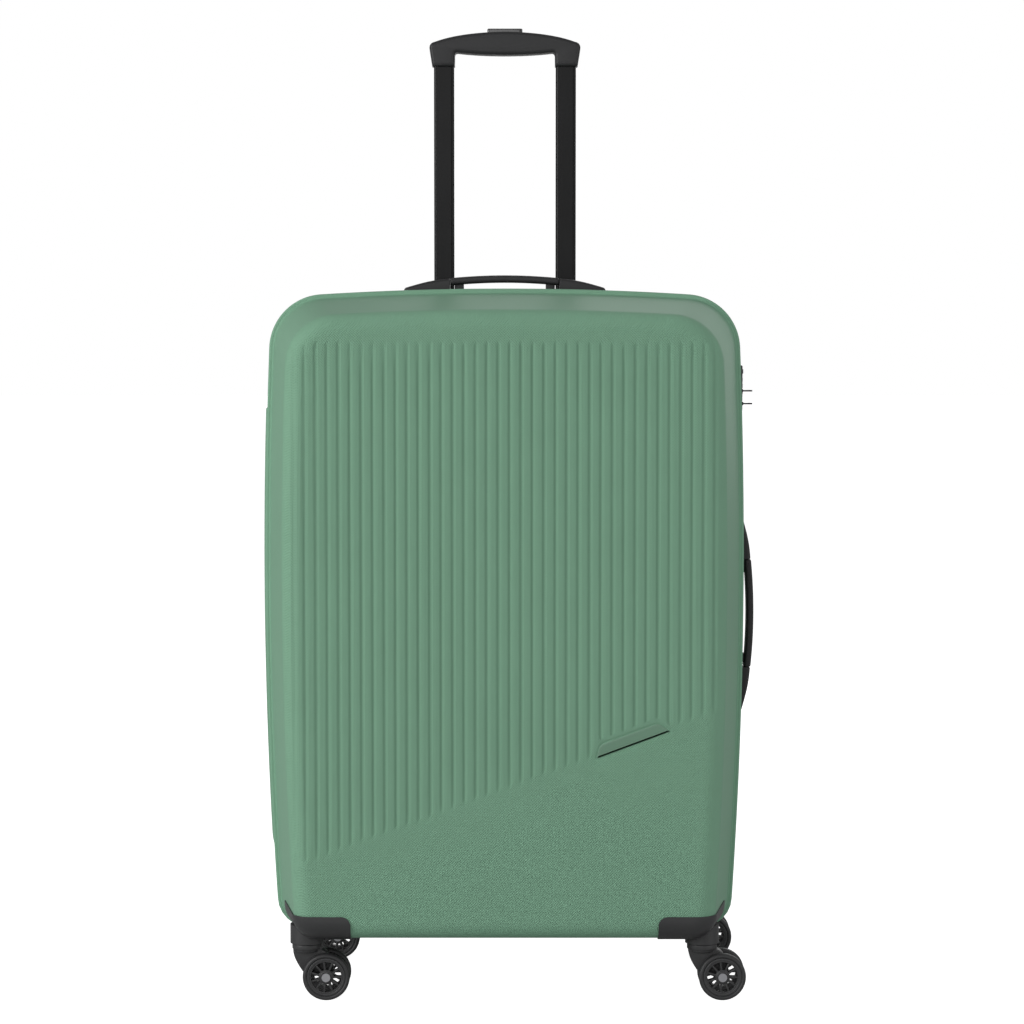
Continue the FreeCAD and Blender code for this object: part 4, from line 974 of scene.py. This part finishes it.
def makeFork(node, bodyName):
    # Side outline carried across between the wheels, a flange on top and a boss round the axle.
    low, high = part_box(node)
    x, y = low.x + caster["flange"], (low.y + high.y) / 2
    top = high.z
    shelf, axleX, axleZ, b = top - 0.0063, caster["trail"], caster["wheel"], caster["boss"]
    front, back = (axleX + b, axleZ + 0.003), (axleX - b, axleZ - 0.002)
    runs = [bend((0.016, shelf), (0.0243, shelf - 0.0075), front, 12),
            bend(front, (axleX + 0.004, axleZ - b * 0.95), back, 14),
            bend(back, (0.003, axleZ + 0.0015), (-0.0045, axleZ + 0.004), 8),
            bend((-0.0045, axleZ + 0.004), (-0.0122, shelf - 0.0105), (-0.0147, shelf), 12),
            [(-0.0147, shelf), (-0.0147, top - 0.001), (0.0155, top - 0.001)]]
    loop = np.concatenate([np.asarray(r) for r in runs])[::-1] + [x, 0]
    half = caster["forkHalf"]
    cheek = prism(loop, -y - half, -y + half, 0.0016, "front", 5)
    flange = turnedRing(ringSection(0.0041, caster["flange"], shelf, top, 0.0012), (x, y, 0), "z", 72)
    section = ringSection(0.0041, caster["flange"] - 0.0022, shelf - 0.0025, shelf + 0.001, 0.001)
    skirt = turnedRing(section, (x, y, 0), "z", 72)
    section = ringSection(0.0031, b - 0.001, -half - 0.0006, half + 0.0006, 0.0006)
    boss = turnedRing(section, (x + axleX, y, axleZ), "y", 40)
    points, faces, caps = withCaps([cheek, (*flange, []), (*skirt, []), (*boss, [])])
    name = node.replace("_", " ").title().replace(" ", "")
    piece = makePiece("swivel" + name, points, faces, True, caps)
    place(piece, bodyName, "black_plastic", plasticFinish, [node], 45)


for end in ("front", "rear"):
    for side in ("left", "right"):
        makeFork("fork_%s_%s" % (end, side), "swivel_%s_%s" % (end, side))
        for which in ("front", "rear"):
            makeWheel("wheel_%s_%s_%s" % (end, side, which), "wheel_%s_%s_%s_spin" % (end, side, which))
print("casters ready")

# ---------- linings and straps ----------
lining = {"gap": 0.0046, "round": 0.018, "thick": 0.0010, "floorBack": 0.0958, "floorFront": 0.1418,
          "pocket": 0.0205}


def liningRows(floor):
    base = case["flare"] + case["wall"] + lining["gap"]
    rows = []
    for share in np.linspace(0, 1, 9):
        spots = []
        for draft in (case["sideDraft"], case["topDraft"], case["bottomDraft"]):
            back = floor - lining["round"]
            centre = base + (back - case["rimFar"]) * tan(draft) + lining["round"] / cos(draft)
            turn = share * (pi / 2 - draft)
            spots.append((centre - lining["round"] * sin(turn), back + lining["round"] * cos(turn)))
        rows.append(([p[0] for p in spots], [p[1] for p in spots],
                     lining["round"] * (1 - sin(share * pi / 2)) + 0.012))
    start = rows[-1]
    for t in np.linspace(0, 1, 22)[1:]:
        insets = [a * (1 - t) + base * t for a in start[0]]
        depths = [a * (1 - t) + 0.0092 * t for a in start[1]]
        rows.append((insets, depths, 0.012))
    flat = case["flare"] + case["wall"] + 0.0004
    rows.append(([base - 0.002] * 3, [0.0086] * 3, 0.010))
    rows.append(([flat] * 3, [0.0084] * 3, flat))
    return rows


def makeLining(name, sign, floor, bodyName, node):
    # The shell's own outline set in, with soft ripples: the wall moves by a few waves along its
    # length and depth.
    rowList = liningRows(floor)
    insets = rowList[0][0]
    half = case["halfWidth"] - insets[0]
    columns = np.linspace(-half, half, 120)
    rows = np.linspace(case["bottom"] + insets[2], case["top"] - insets[1], 160)

    def sink(x, z):
        wave = 0.0009 * np.sin(x * 61 + 3 * np.sin(z * 13)) * np.sin(z * 37 + 2 * np.sin(x * 17))
        seam = 0.0013 * np.exp(-((np.abs(z - 0.42) - 0.205) / 0.0022) ** 2)
        return wave + seam + 0.0010

    piece = basin(name, sign, rowList, 10, columns, rows, floor, sink, False)
    mesh = piece.data
    points = np.empty(len(mesh.vertices) * 3, np.float32)
    mesh.vertices.foreach_get("co", points)
    points = points.reshape(-1, 3)
    x, y, z = points[:, 0] - middleX, points[:, 1] * sign, points[:, 2]
    middleZ = (case["top"] + case["bottom"]) / 2
    onSide = smoothStep(np.abs(x), 0.20, 0.23)
    onEnd = smoothStep(np.abs(z - middleZ), 0.29, 0.32)
    deep = smoothStep(y, 0.012, 0.03) * (1 - smoothStep(y, floor - 0.012, floor - 0.002))
    drift = 2 * np.sin(y * 41)
    ripple = 0.0012 * deep * (np.sin(z * 83 + drift) * onSide + np.sin(x * 83 + drift) * onEnd)
    points[:, 0] -= np.sign(x) * (ripple + 0.0012 * deep) * onSide
    points[:, 2] -= np.sign(z - middleZ) * (ripple + 0.0012 * deep) * onEnd
    if sign > 0:
        across = smoothStep(y, 0.016, 0.024) * (1 - smoothStep(y, 0.050, 0.060))
        inward = 1 - smoothStep(np.abs(x), 0.062, 0.078)
        points[:, 2] -= lining["pocket"] * across * inward * smoothStep(z, 0.70, 0.715)
        lift = 1 - smoothStep(np.abs(z - 0.399), 0.062, 0.078)
        points[:, 0] -= lining["pocket"] * across * lift * smoothStep(x, 0.215, 0.228)
    mesh.vertices.foreach_set("co", points.ravel())
    solid = piece.modifiers.new("cloth", "SOLIDIFY")
    solid.thickness = lining["thick"]
    solid.offset = 1.0
    mesh.update()
    place(piece, bodyName, "lining_grey", liningFinish, [node])


makeLining("frontLiningCloth", -1, lining["floorFront"], "front_half", "front_lining")
makeLining("backLiningCloth", 1, lining["floorBack"], "back_half", "back_lining")

strap = {"wide": 0.025, "thick": 0.0014, "bow": 0.004}


def makeStrap(sign, node):
    # A flat band along a line that lifts a little in the middle, with rounded edges, two arms a side.
    low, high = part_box(node)
    y = (low.y + high.y) / 2
    buckleLow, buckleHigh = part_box("strap_buckle")
    meet = (buckleLow + buckleHigh) / 2
    shapes = []
    for target in (low.z + strap["wide"] / 2, high.z - strap["wide"] / 2):
        start = np.array([middleX + sign * (buckleHigh.x - buckleLow.x) / 2, meet.z])
        end = np.array([(low.x if sign < 0 else high.x) - sign * 0.006, target])
        t = np.linspace(0, 1, 40)[:, None]
        line = start * (1 - t) + end * t
        heading = (end - start) / np.linalg.norm(end - start)
        across = np.array([-heading[1], heading[0]])
        w, h, e = strap["wide"] / 2, strap["thick"] / 2, 0.0004
        section = [(-w, -h + e), (-w + e, -h), (w - e, -h), (w, -h + e)]
        section = np.array(section + [(w, h - e), (w - e, h), (-w + e, h), (-w, h - e)])
        lift = strap["bow"] * np.sin(pi * t[:, 0])
        x = line[:, None, 0] + across[0] * section[None, :, 0]
        z = line[:, None, 1] + across[1] * section[None, :, 0]
        depth = y - lift[:, None] - section[None, :, 1]
        points = np.stack([x, depth * np.ones_like(x), z], axis=-1).reshape(-1, 3)
        faces = gridFaces(40, 8, wrapCols=True)
        shapes.append((points, faces, [np.arange(8)[::-1], np.arange(8) + 39 * 8]))
    points, faces, caps = withCaps(shapes)
    piece = makePiece("strapBand" + ("Left" if sign < 0 else "Right"), points, faces, True, caps)
    place(piece, "back_half", "strap_black", strapFinish, [node], 40)


def makeBuckle():
    low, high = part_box("strap_buckle")
    middle = (low + high) / 2
    halfX, halfZ = (high.x - low.x) / 2, (high.z - low.z) / 2
    body = roundedLoop(rectangle(halfX, halfZ), 0.006, 6) + [middle.x, middle.z]
    shapes = [prism(body, -high.y, -low.y - 0.001, 0.0016, "front", 5)]
    for sign in (-1, 1):
        wedge = np.array([[-0.012, -0.004], [0.012, -0.004], [0.008, 0.004], [-0.008, 0.004]]) * [1, sign]
        press = roundedLoop(wedge, 0.002, 5)
        press = press if sign > 0 else press[::-1]
        press = press + [middle.x, middle.z + sign * (halfZ - 0.006)]
        shapes.append(prism(press, -high.y + 0.001, -low.y, 0.0008, "front", 4))
    ridge = roundedLoop(rectangle(0.010, 0.011), 0.004, 6) + [middle.x, middle.z]
    shapes.append(prism(ridge, -high.y + 0.001, -low.y - 0.0002, 0.0008, "front", 4))
    points, faces, caps = withCaps(shapes)
    piece = makePiece("strapClip", points, faces, True, caps)
    place(piece, "back_half", "black_plastic", plasticFinish, ["strap_buckle"], 45)


makeStrap(-1, "strap_left")
makeStrap(1, "strap_right")
makeBuckle()
print("linings and straps ready")

# ---------- studio ----------
studio = {"lens": 103.9, "distance": 3.225, "height": 0.7075, "pitch": 3.46, "aside": 0.0079,
          "ambient": 0.35, "lamps": [("keyLeft", (-2.6, -1.6, 1.3), (0, 0, 0.45), (1.2, 1.8), 62),
                                     ("fillRight", (2.6, -1.6, 1.1), (0, 0, 0.45), (1.6, 2.2), 24),
                                     ("frontSoft", (-0.6, -4.6, 1.6), (0, 0, 0.45), (2.4, 2.4), 42),
                                     ("rearSoft", (0.8, 3.0, 1.5), (0, 0, 0.5), (2.2, 2.2), 22)]}


def makeCamera():
    data = bpy.data.cameras.new("camera")
    data.lens = studio["lens"]
    data.sensor_width = 36
    camera = bpy.data.objects.new("camera", data)
    bpy.context.scene.collection.objects.link(camera)
    camera.location = (middleX + studio["aside"], -studio["distance"], studio["height"])
    camera.rotation_euler = (radians(90 - studio["pitch"]), 0, 0)
    bpy.context.scene.camera = camera


def makeLight(name, place, target, size, power):
    data = bpy.data.lights.new(name, "AREA")
    data.shape = "RECTANGLE"
    data.size, data.size_y = size
    data.energy = power
    light = bpy.data.objects.new(name, data)
    bpy.context.scene.collection.objects.link(light)
    light.location = place
    light.rotation_euler = (Vector(target) - Vector(place)).to_track_quat("-Z", "Y").to_euler()


def makeFloor():
    size = 30.0
    floor = makePiece("floor", [(-size, -size, 0), (size, -size, 0), (size, size, 0), (-size, size, 0)],
                      [[0, 1, 2, 3]])
    finish = Finish("paleFloor", (0.5, 0.5, 0.5), 0.9, Emission_Color=(1, 1, 1, 1))
    finish.tint(finish.noise(1.5, 2), 0.99, 1.01)
    seen = Value(finish, finish.node("ShaderNodeLightPath").outputs["Is Camera Ray"]) * 0.93
    finish.tree.links.new(seen.socket, finish.shader.inputs["Emission Strength"])
    floor.data.materials.append(finish.material)


def makeWorld():
    # White behind everything, and a softer white for the light it gives.
    world = bpy.data.worlds.new("studioWorld")
    bpy.context.scene.world = world
    world.use_nodes = True
    tree = world.node_tree
    ground = tree.nodes["Background"]
    ground.inputs["Color"].default_value = (1, 1, 1, 1)
    rays = tree.nodes.new("ShaderNodeLightPath")
    mix = tree.nodes.new("ShaderNodeMix")
    mix.inputs[2].default_value = studio["ambient"]
    mix.inputs[3].default_value = 1.0
    tree.links.new(rays.outputs["Is Camera Ray"], mix.inputs[0])
    tree.links.new(mix.outputs[0], ground.inputs["Strength"])


makeCamera()
makeFloor()
makeWorld()
for lamp in studio["lamps"]:
    makeLight(*lamp)
print("studio ready")
